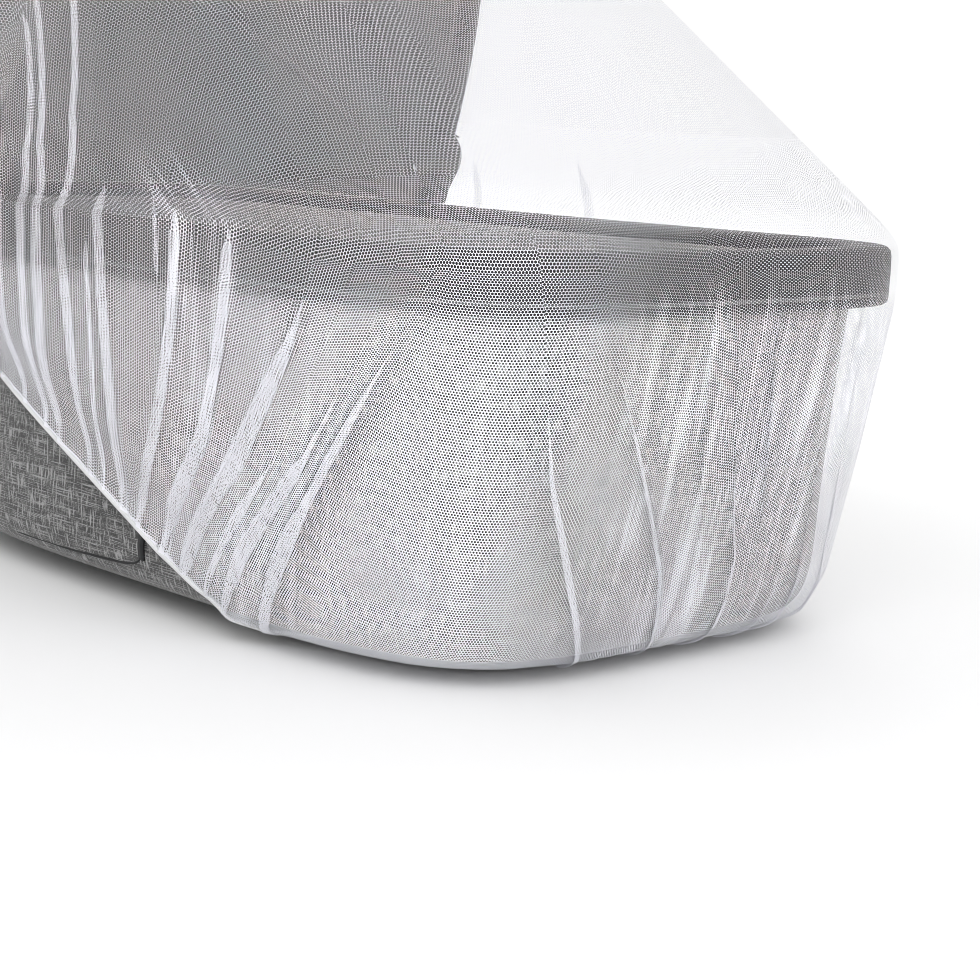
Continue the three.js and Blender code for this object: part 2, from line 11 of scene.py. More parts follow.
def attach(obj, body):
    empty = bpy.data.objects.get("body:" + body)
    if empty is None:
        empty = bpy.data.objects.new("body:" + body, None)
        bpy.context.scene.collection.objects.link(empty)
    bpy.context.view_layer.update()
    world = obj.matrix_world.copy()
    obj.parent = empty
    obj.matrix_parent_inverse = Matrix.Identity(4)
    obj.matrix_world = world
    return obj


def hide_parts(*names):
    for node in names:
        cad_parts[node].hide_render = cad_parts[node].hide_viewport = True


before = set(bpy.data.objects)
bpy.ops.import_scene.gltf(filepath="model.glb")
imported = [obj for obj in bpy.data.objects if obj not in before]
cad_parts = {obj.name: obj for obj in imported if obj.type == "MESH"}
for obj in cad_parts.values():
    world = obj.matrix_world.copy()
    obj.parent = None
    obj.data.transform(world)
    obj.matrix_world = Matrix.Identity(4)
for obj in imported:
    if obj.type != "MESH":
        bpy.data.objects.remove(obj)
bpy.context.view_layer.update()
MM = 0.001


def as_rows(columns, *rows):
    """Rows of a table, each with its values by the names of the columns."""
    return [dict(zip(columns, row)) for row in rows]


# The carrycot's driving sizes, as in its solids
HALF_LENGTH = 395
HALF_WIDTH = 215
FOOT_SQUARENESS = 4.5
HEAD_SQUARENESS = 3
RIM_TOP = 262
RIM_BOTTOM = 224
RIM_RISE = 4
RISE_START = 130
SEAT_GAP = 0.3

# The hood's
HINGE_X = -140
HINGE_Y = 201
HINGE_Z = 302
HINGE_HEAD_RADIUS = 20
BOW_LEAN = math.radians(20)
BOW_SQUARENESS = 2.6
BOW_TUBE_RADIUS = 10
BOW_HEIGHT = 319
HOOD_HEIGHT = 329
HOOD_INSET = 9
HOOD_THICKNESS = 4
HOOD_SETBACK = 11.2
HOOD_ROUNDNESS = 2.2
HOOD_START = 0.077
HOOD_CORNER = 0.018
HOOD_STEP_BACK = 20
RIB_RADIUS = 3.5
RIB_PLACES = (3 / 9, 6 / 9)

# The net's
NET_THICKNESS = 1.6
NET_CLEARANCE = 4
NET_RIM = 265
NET_BOW_HEIGHT = 334
ELASTIC_RADIUS = 1.7
HEM_TURN_X = 165
HEM_TUCKED_X = 235
HEM_TURN_Z = 16
HEM_SLOPE = 0.385
HEM_HIGHEST = 206
HEM_HUG = 2.4
HEM_HUG_HEIGHT = 60
HEM_STRAIGHT = 8
MESH_PITCH = 2.0
HOLE_SHARE = 0.445
# Hole sizes by place along the rim, on the band and on the walls: partly the knit's own openness, and partly
# painted light. Smaller holes over the band by the front corner make a painted highlight; bigger holes
# towards the head and on the foot end show more of the dark cloth, as painted shade.
OPEN_PLACES = (100, 380, 500, 600)
RIM_OPENNESS_WITH_PAINTED_LIGHT = (1.04, 0.97, 0.96, 1.07)
WALL_OPENNESS_WITH_PAINTED_SHADE = (0.9, 0.78, 0.755, 0.88)
FOLD_OPENNESS = 0.92
GATHER_CLOSING = 0.3
SOLID_HEM = 0.012
NEAR_RIM = 0.14
SIDE_FACING = 0.42
HOOD_STRETCH = 1.5
HOOD_TURN = 30
KNIT_PLACES = (110, 230, 340, 480, 590, 700, 860, 1140)
KNIT_TURNS = (0, 0, 10, 28, 31, 60, 60, 120)
KNIT_STRETCHES = (1.55, 1.45, 1.35, 1, 1.05, 1.1, 1.1, 1.2)
KNIT_SIZES = (1.05, 1.07, 1.08, 0.95, 0.97, 1, 1, 1)

# The tub's wall from the floor up, and the net's fall from the rim to its tucked hem: insets from the rim
WALL_COLUMNS = ("foot", "side", "z")
TUB_OUTSIDE = as_rows(
    WALL_COLUMNS, (92, 50, 12.3), (68, 28, 17), (51, 13, 30), (45, 10, 48), (36, 14, 128), (22, 20, 223.7),
)
COVER_FOOT = as_rows(WALL_COLUMNS, (84, 44, 12.3), (60, 24, 16), (50, 13.2, 28))
COVER_OUTSIDE = COVER_FOOT + TUB_OUTSIDE[3:]
SEAM_HEIGHT = 26.2
TUB_WALL = 8
TUB_FLOOR = 24
NET_FALL = as_rows(
    WALL_COLUMNS, (0, 0, NET_RIM), (0, 0, 226), (20, 3, 130), (40, 7, 42), (52, 15, HEM_TURN_Z),
    (72, 34, 8.5), (92, 52, 8.5),
)

# Pleats of the net. Their places on the way down are distances along the rim, from the near hinge round
# the foot. band is about the width of a pleat's three layers. It is whole from run top to run bottom, where
# a run is -1 at the bow, 0 at the rim and 1 at the hem. head is its strength on the head side.
PLEAT_PLACES = ("bow", "tent", "rim", "upper", "middle", "lower", "hem")
PLEAT_COLUMNS = (*PLEAT_PLACES, "band", "top", "bottom", "head")
WALL_HEIGHTS = (NET_RIM, 200, 130, 70, HEM_TURN_Z)
PLEATS = as_rows(
    PLEAT_COLUMNS,
    (60, 40, 26, 26, 27, 28, 30, 8.5, -0.6, 1, 0.8),
    (207, 102, 57, 58, 60, 62, 66, 8.5, -1, 1, 0.7),
    (235, 130, 78, 79, 81, 84, 87, 9, -1, 1, 0.5),
    (315, 190, 106, 116, 126, 127, 126, 8.5, -1, 1, 0.6),
    (350, 222, 137, 144, 147, 145, 143, 2.6, 0.15, 1, 0.3),
    (372, 245, 153, 160, 170, 171, 171, 9.5, -0.2, 1, 0.5),
    (388, 280, 219, 224, 205, 183, 176, 2.6, -0.15, 0.36, 0.2),
    (402, 315, 241, 238, 223, 196, 184, 9.5, -0.1, 1, 0.6),
    (430, 368, 296, 291, 276, 236, 210, 9, -0.04, 1, 0.5),
    (462, 420, 378, 357, 318, 271, 240, 9, 0.13, 1, 0.4),
    (485, 446, 412, 386, 352, 304, 272, 3.4, 0.36, 1, 0.3),
    (505, 472, 441, 416, 377, 328, 298, 6, 0.2, 1, 0.5),
    (530, 502, 468, 436, 397, 364, 344, 8, 0.16, 1, 0.4),
    (562, 546, 522, 532, 548, 572, 595, 7, 0.14, 1, 0.4),
    (600, 582, 554, 577, 614, 646, 661, 6, 0.1, 1, 0.4),
    (640, 640, 640, 650, 664, 684, 692, 2.4, 0.1, 0.4, 0.2),
    (676, 668, 662, 676, 695, 717, 720, 5.2, 0.2, 1, 0.3),
    (706, 704, 700, 709, 726, 741, 744, 2.6, 0.06, 0.42, 0.2),
    (738, 736, 734, 744, 765, 771, 767, 4, 0.33, 1, 0.4),
    (762, 762, 762, 768, 780, 790, 797, 3.2, 0.24, 1, 0.3),
    (785, 788, 792, 800, 810, 821, 836, 4, 0.2, 1, 0.5),
    (850, 895, 930, 935, 955, 985, 1001, 8.5, 0.2, 1, 0.4),
    (895, 940, 978, 990, 1026, 1060, 1077, 10, 0.3, 1, 0.5),
    (980, 1020, 1050, 1070, 1098, 1130, 1148, 10, 0, 1, 0.6),
    (1100, 1160, 1215, 1215, 1217, 1216, 1215, 10, -0.4, 1, 0.5),
    (1290, 1322, 1344, 1343, 1342, 1341, 1340, 8.5, -0.8, 1, 0.7),
)
FOOT_PLEATS = 500
PLEAT_HEIGHT = 2.4
PLEAT_OVERLAP = 0.95
CLOTH_PER_BAND = 1.85
PLEAT_WIDTHS = [row["band"] * CLOTH_PER_BAND for row in PLEATS]

rng = np.random.default_rng(11)


# Numbers, outlines and paths

def smoothstep(low, high, value):
    share = np.clip((value - low) / (high - low), 0, 1)
    return share * share * (3 - 2 * share)


def mix(a, b, share):
    return a + (b - a) * share


def signed_power(value, power):
    return np.sign(value) * np.abs(value) ** power


def rise_at(x, z):
    share = np.clip((z - RISE_START) / (RIM_BOTTOM - RISE_START), 0, 1)
    return share * RIM_RISE * (x / HALF_LENGTH) ** 2


def outline(angles, half_x, half_y):
    squareness = np.where(np.cos(angles) > 0, FOOT_SQUARENESS, HEAD_SQUARENESS)
    x = half_x * signed_power(np.cos(angles), 2 / squareness)
    y = half_y * signed_power(np.sin(angles), 2 / squareness)
    return np.stack([x, y, np.zeros_like(x)], -1)


class Path:
    """A run of points that can be read at any distance along it."""

    def __init__(self, points):
        self.points = np.asarray(points, float)
        steps = np.linalg.norm(np.diff(self.points, axis=0), axis=1)
        self.distances = np.concatenate([[0], np.cumsum(steps)])
        self.length = self.distances[-1]

    def at(self, distance):
        return np.stack([np.interp(distance, self.distances, column) for column in self.points.T], -1)


def outline_arc(from_angle, to_angle, half_x, half_y):
    return Path(outline(np.linspace(from_angle, to_angle, 2881), half_x, half_y))


def table_value(table, column, place):
    values = [row[column] for row in table]
    return np.interp(place, np.arange(len(values)), values)


def lean_x(z):
    return HINGE_X + math.tan(BOW_LEAN) * (z - NET_RIM)


def arch_path(half_span, foot_z, height, setback=0):
    angles = np.linspace(0, math.pi, 1441)
    y = -half_span * signed_power(np.cos(angles), 2 / BOW_SQUARENESS)
    z = foot_z + height * np.abs(np.sin(angles)) ** (2 / BOW_SQUARENESS)
    return Path(np.stack([lean_x(z) - setback, y, z], -1))


def rim_arc(half_x, half_y, is_foot):
    hinge_angle = math.acos(-((-HINGE_X / half_x) ** (HEAD_SQUARENESS / 2)))
    end_angle = hinge_angle if is_foot else hinge_angle - 2 * math.pi
    return outline_arc(-hinge_angle, end_angle, half_x, half_y)


def dome_point(dome, across, back):
    """A point of a dome that springs from the rim and rises to the arch."""
    bow = dome["arch"].at(across * dome["arch"].length)
    rim = dome["rim"].at(across * dome["rim"].length)
    reach = np.sin(back * math.pi / 2) ** (2 / HOOD_ROUNDNESS)
    rise = np.maximum(np.cos(back * math.pi / 2), 0) ** (2 / HOOD_ROUNDNESS)
    rim_z = dome["rim_z"] + rise_at(rim[..., 0], dome["rim_z"])
    x = mix(bow[..., 0], rim[..., 0], reach)
    y = mix(rim[..., 1], bow[..., 1], rise)
    return np.stack([x, y, mix(rim_z, bow[..., 2], rise)], -1)


def hood_dome(depth):
    inset = HOOD_INSET + depth
    rim_z = RIM_TOP + SEAT_GAP
    return {
        "arch": arch_path(HALF_WIDTH - inset, rim_z, HOOD_HEIGHT - depth, HOOD_SETBACK),
        "rim": rim_arc(HALF_LENGTH - inset, HALF_WIDTH - inset, False),
        "rim_z": rim_z,
    }


# Meshes

def grid_faces(rows, columns, closed=False):
    """Quads between the points of a grid; a closed one joins its last column to its first."""
    r, c = np.meshgrid(np.arange(rows - 1), np.arange(columns if closed else columns - 1), indexing="ij")
    a = r * columns + c
    b = r * columns + (c + 1) % columns
    return np.stack([a, b, b + columns, a + columns], -1).reshape(-1, 4)


def end_caps(rows, columns):
    """The two faces that close a stack of rings at its first and its last ring."""
    last = (rows - 1) * columns
    return [list(range(columns))[::-1], list(range(last, last + columns))]


def add_object(name, data):
    thing = bpy.data.objects.new(name, data)
    bpy.context.scene.collection.objects.link(thing)
    return thing


def make_piece(name, points, faces, material, replaces=(), uvs=None, merge=False):
    """A smooth piece from points in millimetres, that rides on the body and stands for the named nodes."""
    mesh = bpy.data.meshes.new(name)
    mesh.from_pydata((np.asarray(points).reshape(-1, 3) * MM).tolist(), [], [tuple(face) for face in faces])
    if uvs is not None:
        layer = mesh.uv_layers.new(name="UVMap")
        layer.data.foreach_set("uv", np.asarray(uvs, np.float32).ravel())
    mesh.shade_smooth()
    piece = add_object(name, mesh)
    mesh.materials.append(material)
    if merge:
        tidy_mesh(mesh)
    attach(piece, "root")
    if replaces:
        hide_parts(*replaces)
    return piece


def tidy_mesh(mesh):
    """Joins corners that lie on each other and turns the faces one way."""
    work = bmesh.new()
    work.from_mesh(mesh)
    bmesh.ops.remove_doubles(work, verts=work.verts, dist=1e-6)
    bmesh.ops.recalc_face_normals(work, faces=work.faces)
    work.to_mesh(mesh)
    work.free()
    mesh.shade_smooth()


def grid_uvs(faces, u, v):
    """The corners' places on the flat cloth, in metres, from grids of them in millimetres."""
    flat = np.stack([np.ravel(u), np.ravel(v)], -1) * MM
    return flat[faces]


def tube(path_points, radius, sides, closed):
    """Points and faces of a round tube along a run of points, with its ends capped if it's open."""
    points = np.asarray(path_points, float)
    if closed:
        along = np.roll(points, -1, 0) - np.roll(points, 1, 0)
    else:
        along = np.gradient(points, axis=0)
    along /= np.linalg.norm(along, axis=1, keepdims=True)
    frames = [square_to(along[0])]
    for direction in along[1:]:
        side = frames[-1] - direction * np.dot(frames[-1], direction)
        frames.append(side / np.linalg.norm(side))
    side = np.array(frames)
    if closed:
        side = spread_twist(side, along)
    up = np.cross(along, side)
    angles = np.linspace(0, 2 * math.pi, sides, endpoint=False)[:, None]
    ring = side[:, None] * np.cos(angles) + up[:, None] * np.sin(angles)
    grid = points[:, None] + ring * radius
    faces = grid_faces(len(points) + closed, sides, closed=True) % (len(points) * sides)
    caps = [] if closed else end_caps(len(points), sides)
    return grid.reshape(-1, 3), faces.tolist() + caps


def make_rod(name, centre, radius, sides, material, replaces=()):
    points, faces = tube(centre, radius, sides, closed=False)
    return make_piece(name, points, faces, material, replaces)


def tube_uvs(faces, count, sides, step, side_step):
    """Flat places for a tube: along it, and round it."""
    lengths = np.repeat(np.arange(count), sides) * step
    around = np.tile(np.arange(sides), count) * side_step
    return np.stack([lengths, around], -1)[np.array(faces)] * MM


def square_to(direction):
    helper = np.array([0, 0, 1.0]) if abs(direction[2]) < 0.9 else np.array([1.0, 0, 0])
    side = np.cross(helper, direction)
    return side / np.linalg.norm(side)


def spread_twist(side, along):
    """Turns the sections of a closed tube little by little, so that the last one meets the first."""
    last = side[-1] - along[0] * np.dot(side[-1], along[0])
    last /= np.linalg.norm(last)
    twist = math.atan2(np.dot(np.cross(last, side[0]), along[0]), np.dot(last, side[0]))
    angles = twist * np.arange(len(side)) / len(side)
    up = np.cross(along, side)
    return side * np.cos(angles)[:, None] + up * np.sin(angles)[:, None]


# Materials

class Nodes:
    """A node tree, to which nodes are added one by one."""

    def __init__(self, tree):
        self.tree = tree

    def node(self, kind, inputs=(), **settings):
        node = self.tree.nodes.new(kind)
        for key, value in settings.items():
            setattr(node, key, value)
        for key, value in dict(inputs).items():
            self.feed(node.inputs[key], value)
        return node

    def feed(self, socket, value):
        if isinstance(value, bpy.types.NodeSocket):
            self.tree.links.new(value, socket)
        else:
            socket.default_value = value

    def math(self, operation, a, b=0.0):
        return self.node("ShaderNodeMath", {0: a, 1: b}, operation=operation).outputs[0]

    def vector(self, operation, a, b=(0, 0, 0)):
        node = self.node("ShaderNodeVectorMath", {0: a, 1: b}, operation=operation)
        return node.outputs["Value" if operation in ("LENGTH", "DOT_PRODUCT") else "Vector"]

    def attribute(self, name, output="Fac"):
        return self.node("ShaderNodeAttribute", attribute_name=name).outputs[output]

    def uv(self):
        return self.node("ShaderNodeTexCoord").outputs["UV"]

    def place(self):
        return self.node("ShaderNodeTexCoord").outputs["Object"]

    def noise(self, vector, scale, detail=2.0, stretch=(1, 1, 1)):
        spread = self.vector("MULTIPLY", vector, stretch)
        inputs = {"Vector": spread, "Scale": scale, "Detail": detail}
        return self.node("ShaderNodeTexNoise", inputs).outputs["Fac"]

    def ramp(self, value, low, high, out_low=0.0, out_high=1.0):
        inputs = {"Value": value, "From Min": low, "From Max": high, "To Min": out_low, "To Max": out_high}
        return self.node("ShaderNodeMapRange", inputs, interpolation_type="SMOOTHSTEP").outputs["Result"]

    def blend(self, factor, a, b):
        inputs = {0: factor, 6: a, 7: b}
        return self.node("ShaderNodeMix", inputs, data_type="RGBA").outputs[2]


class Finish(Nodes):
    """A material with a Principled shader."""

    def __init__(self, name, color, roughness):
        self.material = bpy.data.materials.new(name)
        self.material.use_nodes = True
        super().__init__(self.material.node_tree)
        self.shader = self.tree.nodes["Principled BSDF"]
        self.shader.inputs["Base Color"].default_value = (*color, 1)
        self.shader.inputs["Roughness"].default_value = roughness

    def color(self, value):
        self.feed(self.shader.inputs["Base Color"], value)

    def clouds(self, scale, dark, light):
        """Lets the colour drift softly between two shades."""
        tone = self.noise(self.place(), scale)
        self.color(self.blend(tone, dark, light))
        return tone

    def bump(self, height, distance, strength=1.0):
        inputs = {"Height": height, "Distance": distance, "Strength": strength}
        node = self.node("ShaderNodeBump", inputs)
        self.feed(self.shader.inputs["Normal"], node.outputs["Normal"])

    def set(self, **sockets):
        for key, value in sockets.items():
            self.shader.inputs[key.replace("_", " ")].default_value = value


def grey(value, tint=0.0):
    return (value * (1 - tint), value, value * (1 + tint), 1)


def net_finish():
    """White tulle: round holes in a hexagonal pattern, tighter in streaks where the cloth is gathered."""
    finish = Finish("net_tulle", (0.82, 0.82, 0.87), 0.8)
    pitch = MESH_PITCH * MM
    cell = (pitch * math.sqrt(3), pitch, 1)
    flat = finish.vector("DIVIDE", finish.uv(), cell)
    distances = []
    for shift in ((0, 0, 0), (0.5, 0.5, 0)):
        moved = finish.vector("FRACTION", finish.vector("ADD", flat, shift))
        centred = finish.vector("MULTIPLY", finish.vector("SUBTRACT", moved, (0.5, 0.5, 0)), cell)
        flattened = finish.vector("MULTIPLY", centred, (1, 1, 0))
        distances.append(finish.vector("LENGTH", flattened))
    distance = finish.math("MINIMUM", *distances)
    place = finish.attribute("place", "Vector")
    broad = finish.noise(place, 95.0, 1.0, (1, 0.07, 1))
    fine = finish.noise(place, 240.0, 1.0, (1, 0.06, 1))
    streaks = finish.math("ADD", finish.ramp(broad, 0.5, 0.72), finish.ramp(fine, 0.52, 0.74))
    gather = finish.attribute("gather")
    drawn_in = finish.math("MULTIPLY", finish.math("MULTIPLY", streaks, gather), GATHER_CLOSING)
    openness = finish.math("MULTIPLY", finish.attribute("openness"), finish.math("SUBTRACT", 1.0, drawn_in))
    radius = finish.math("MULTIPLY", openness, HOLE_SHARE * pitch)
    alpha = finish.math("GREATER_THAN", distance, radius)
    finish.feed(finish.shader.inputs["Alpha"], alpha)
    finish.set(Sheen_Weight=0.1)
    return finish.material


def heather(name, dark, light, tint=0.0, thread=0.00045):
    """Woven cloth of mixed light and dark yarns, which run both ways in short streaks."""
    finish = Finish(name, (0.3, 0.3, 0.3), 0.92)
    uv = finish.uv()
    streaks = [finish.noise(uv, 0.7 / thread, 2.0, stretch) for stretch in ((0.06, 1, 1), (1, 0.06, 1))]
    crossing = finish.math("MAXIMUM", *streaks)
    fleck = finish.noise(uv, 0.9 / thread, 2.0)
    cloud = finish.noise(uv, 18.0, 3.0)
    mixed = finish.math("ADD", crossing, finish.math("MULTIPLY", fleck, 0.35))
    mixed = finish.math("ADD", mixed, finish.math("MULTIPLY", cloud, 0.12))
    share = finish.ramp(mixed, 0.72, 0.92)
    finish.color(finish.blend(share, grey(dark, tint), grey(light, tint)))
    finish.bump(crossing, 0.0007, 0.5)
    finish.set(Sheen_Weight=0.25, Sheen_Roughness=0.5)
    return finish.material


def satin_trim():
    finish = Finish("dark_satin_trim", (0.03, 0.032, 0.036), 0.5)
    tone = finish.clouds(25.0, grey(0.014, 0.05), grey(0.03, 0.05))
    finish.feed(finish.shader.inputs["Roughness"], finish.ramp(tone, 0.2, 0.8, 0.45, 0.58))
    finish.bump(finish.noise(finish.place(), 900.0, 3.0), 0.0003, 0.35)
    finish.set(Specular_IOR_Level=0.18)
    return finish.material


def moulded_plastic(name, value, roughness):
    finish = Finish(name, (value, value, value), roughness)
    finish.clouds(30.0, grey(value * 0.8), grey(value * 1.25))
    finish.bump(finish.noise(finish.place(), 1600.0), 0.0002, 0.4)
    return finish.material


def corded(name, color, spacing):
    """Thread wound round a cord or piping, seen as fine slanted ribs along it, with painted shade darkening
    the grooves between the ribs.
    """
    finish = Finish(name, color, 0.85)
    inputs = {"Vector": finish.uv(), "Scale": 0.5 / spacing, "Distortion": 0.6}
    wave = finish.node("ShaderNodeTexWave", inputs)
    # Painted shade: the colour is darker where the wave's bump is low, in the grooves between the ribs.
    shade = tuple(part * 0.72 for part in color)
    finish.color(finish.blend(wave.outputs["Fac"], (*shade, 1), (*color, 1)))
    finish.bump(wave.outputs["Fac"], 0.0004, 0.6)
    return finish.material


# The carrycot

def cot_ring(foot, side, z, count):
    path = outline_arc(-math.pi, math.pi, HALF_LENGTH - foot, HALF_WIDTH - side)
    ring = path.at(np.linspace(0, path.length, count, endpoint=False))
    ring[:, 2] = z + rise_at(ring[:, 0], z)
    return ring


def smooth_rows(table, steps):
    """Rows of a table of sizes, filled in along a smooth line through them."""
    places = np.linspace(0, len(table) - 1, steps)
    columns = np.array([list(row.values()) for row in table], float).T
    return as_rows(table[0], *zip(*(smooth_values(column, places) for column in columns)))


def smooth_values(values, places):
    """A smooth line through values at whole places, which never swings past them."""
    steps = np.diff(values)
    product = steps[:-1] * steps[1:]
    inner = np.where(product > 0, 2 * product / np.where(product > 0, steps[:-1] + steps[1:], 1), 0)
    slopes = np.concatenate([steps[:1], inner, steps[-1:]])
    low = np.clip(np.floor(places).astype(int), 0, len(values) - 2)
    t = places - low
    start, end = values[low], values[low + 1]
    bend = start * (2 * t**3 - 3 * t**2 + 1) + end * (3 * t**2 - 2 * t**3)
    return bend + slopes[low] * (t**3 - 2 * t**2 + t) + slopes[low + 1] * (t**3 - t**2)


def stack_of_rings(rows, count):
    return np.stack([cot_ring(row["foot"], row["side"], row["z"], count) for row in rows])


def ring_uvs(grid, faces):
    """Flat places for a stack of rings: round the ring, and up the wall."""
    count = grid.shape[1]
    round_it = np.linalg.norm(np.roll(grid[-1], -1, 0) - grid[-1], axis=1).sum()
    u = np.arange(count) * round_it / count
    steps = np.linalg.norm(np.diff(grid, axis=0), axis=2).mean(1)
    v = np.concatenate([[0], np.cumsum(steps)])
    uvs = grid_uvs(faces, *np.broadcast_arrays(u, v[:, None]))
    wraps = uvs[:, :, 0].max(1) - uvs[:, :, 0].min(1) > round_it * MM / 2
    uvs[wraps, 1:3, 0] += round_it * MM
    return uvs


def make_ring_piece(name, grid, material, replaces=(), merge=False):
    """A piece whose points are rings round the whole cot, one above another."""
    faces = grid_faces(*grid.shape[:2], closed=True)
    return make_piece(name, grid, faces, material, replaces, ring_uvs(grid, faces), merge)


def make_tub(material):
    count = 260
    outside = smooth_rows(COVER_OUTSIDE, 44)
    inside = [
        {"foot": row["foot"] + TUB_WALL, "side": row["side"] + TUB_WALL, "z": row["z"]}
        for row in smooth_rows(TUB_OUTSIDE[2:], 20)[::-1]
    ]
    floor = as_rows(WALL_COLUMNS, *((100 + 60 * i, 50 + 35 * i, TUB_FLOOR + 2) for i in range(4)))
    grid = stack_of_rings(outside + inside + floor, count)
    outward = grid[: len(outside)]
    angle = np.arange(count) / count * 2 * math.pi
    puff = 0.8 * np.sin(9 * angle) + 0.6 * np.sin(23 * angle + 1)
    height = smoothstep(20, 60, outward[..., 2]) * (1 - smoothstep(180, 215, outward[..., 2]))
    outward[..., :2] *= 1 - (0.6 + 0.35 * puff)[None, :, None] * height[..., None] * 0.0015
    faces = grid_faces(len(grid), count, closed=True)
    all_faces = faces.tolist() + end_caps(len(grid), count)
    flat = np.concatenate([ring_uvs(grid, faces).reshape(-1, 2), np.zeros((2 * count, 2))])
    piece = make_piece("cot_cover", grid, all_faces, material, ["cot_tub"], flat)
    return piece


# Points round the rim band's section: inset from the rim, and height
RIM_SECTION = [
    (27, 224), (14, 224), (2.4, 224), (0.7, 225.2), (0.3, 228), (0.1, 238), (0, 247), (0.2, 255),
    (0.9, 258.6), (2.6, 260.9), (5.4, 261.8), (12, 262), (19, 261.8), (23.5, 260.6), (26.2, 258.4),
    (27, 255), (27, 240),
]
RIM_COLUMNS = 320
TRIM_COLUMNS = 300


def make_rim(material):
    rows = [{"foot": inset, "side": inset, "z": z} for inset, z in RIM_SECTION]
    grid = stack_of_rings(rows + rows[:1], RIM_COLUMNS)
    return make_ring_piece("rim_band", grid, material, ["cot_rim"], merge=True)


def ring_tube(name, inset_foot, inset_side, z, radius, material, slot, sides=8):
    """A thin cord round the whole cot."""
    centre = cot_ring(inset_foot, inset_side, z, TRIM_COLUMNS)
    points, faces = tube(centre, radius, sides, closed=True)
    uvs = tube_uvs(faces, TRIM_COLUMNS, sides, np.linalg.norm(centre[1] - centre[0]), radius)
    return make_piece(name, points, faces, material, (), uvs)


def inset_at(wall, column, z):
    return np.interp(z, [row["z"] for row in wall], [row[column] for row in wall])


def cover_insets(z):
    return [inset_at(COVER_OUTSIDE, column, z) for column in ("foot", "side")]


def cover_point(x, z, outward):
    """A point on the cover's near wall, a little outside it."""
    foot, side = cover_insets(z)
    rim_x = x / (1 - foot / HALF_LENGTH)
    squareness = FOOT_SQUARENESS if x > 0 else HEAD_SQUARENESS
    rim_y = HALF_WIDTH * (1 - abs(rim_x / HALF_LENGTH) ** squareness) ** (1 / squareness)
    return (x, -rim_y * (1 - side / HALF_WIDTH) - outward, z)


def make_binding(material):
    """The sewn strip along the cover's lower edge."""
    rings = []
    for z, outward in ((14.6, -0.4), (15.2, 0.9), (18, 1.1), (22, 1.1), (24.6, 0.9), (25.4, -0.4)):
        foot, side = cover_insets(z)
        rings.append(cot_ring(foot - outward, side - outward, z, TRIM_COLUMNS))
    return make_ring_piece("cover_binding", np.stack(rings), material)


def make_flap_edge(material):
    """The rounded edge of the cover's loose lower flap on the near side, as a rolled seam."""
    corners = (
        (-170, 25.8), (-110, 26.2), (-43, 27), (-9, 28.6), (22, 30),
        (36, 32), (44, 35.5), (47.6, 40), (49.4, 47),
    )
    rough = Path([cover_point(x, z, 0.4) for x, z in corners])
    centre = rough.at(np.linspace(0, rough.length, 90))
    for _ in range(4):
        centre[1:-1] = (centre[:-2] + 2 * centre[1:-1] + centre[2:]) / 4
    return make_rod("cover_flap_edge", centre, 0.9, 8, material)


def make_strap(material):
    """A short dark strap that hangs from under the net's hem."""
    top, bottom = 62, 36.5
    section = ((-3, 1), (-3, 2.2), (3, 2.2), (3, 1))
    rows = []
    for z in np.linspace(top, bottom, 10):
        x = 47.5 + (z - bottom) * 0.15
        sway = 0.5 * math.sin((z - bottom) / 6)
        rows.append([cover_point(x + dx, z, out + sway) for dx, out in section])
    grid = np.array(rows)
    faces = grid_faces(len(rows), 4, closed=True).tolist() + end_caps(len(rows), 4)
    return make_piece("cover_strap", grid, faces, material)


def make_lining(material):
    """Soft cloth inside the rim, in loose waves, with its edge tucked under the band."""
    count = 420
    share = np.linspace(0, 1, count, endpoint=False) * 2 * math.pi
    wave = 0.5 * np.sin(17 * share + 0.6) + 0.35 * np.sin(29 * share + 2) + 0.3 * np.sin(41 * share + 4)
    heights = np.linspace(0, 1, 12)
    rings = []
    for height in heights:
        bulge = math.sin(height * math.pi) ** 0.8
        ring = cot_ring(29.5, 29.5, mix(196, 251, height), count)
        inward = (7 + 5 * wave) * bulge
        direction = -ring[:, :2] / np.linalg.norm(ring[:, :2], axis=1, keepdims=True)
        ring[:, :2] += direction * inward[:, None]
        ring[:, 2] += 3.2 * wave * bulge
        rings.append(ring)
    piece = make_ring_piece("cot_lining", np.stack(rings), material)
    return piece


def make_base(material):
    count = 200
    rows = as_rows(
        WALL_COLUMNS, (150, 100, 0), (136, 86, 0), (131, 81, 0.8), (128.6, 78.6, 3), (128, 78, 7),
        (128, 78, 12),
    )
    grid = stack_of_rings(rows, count)
    faces = grid_faces(len(grid), count, closed=True).tolist() + end_caps(len(grid), count)
    return make_piece("cot_sole", grid, faces, material, ["cot_base"])


# The hood

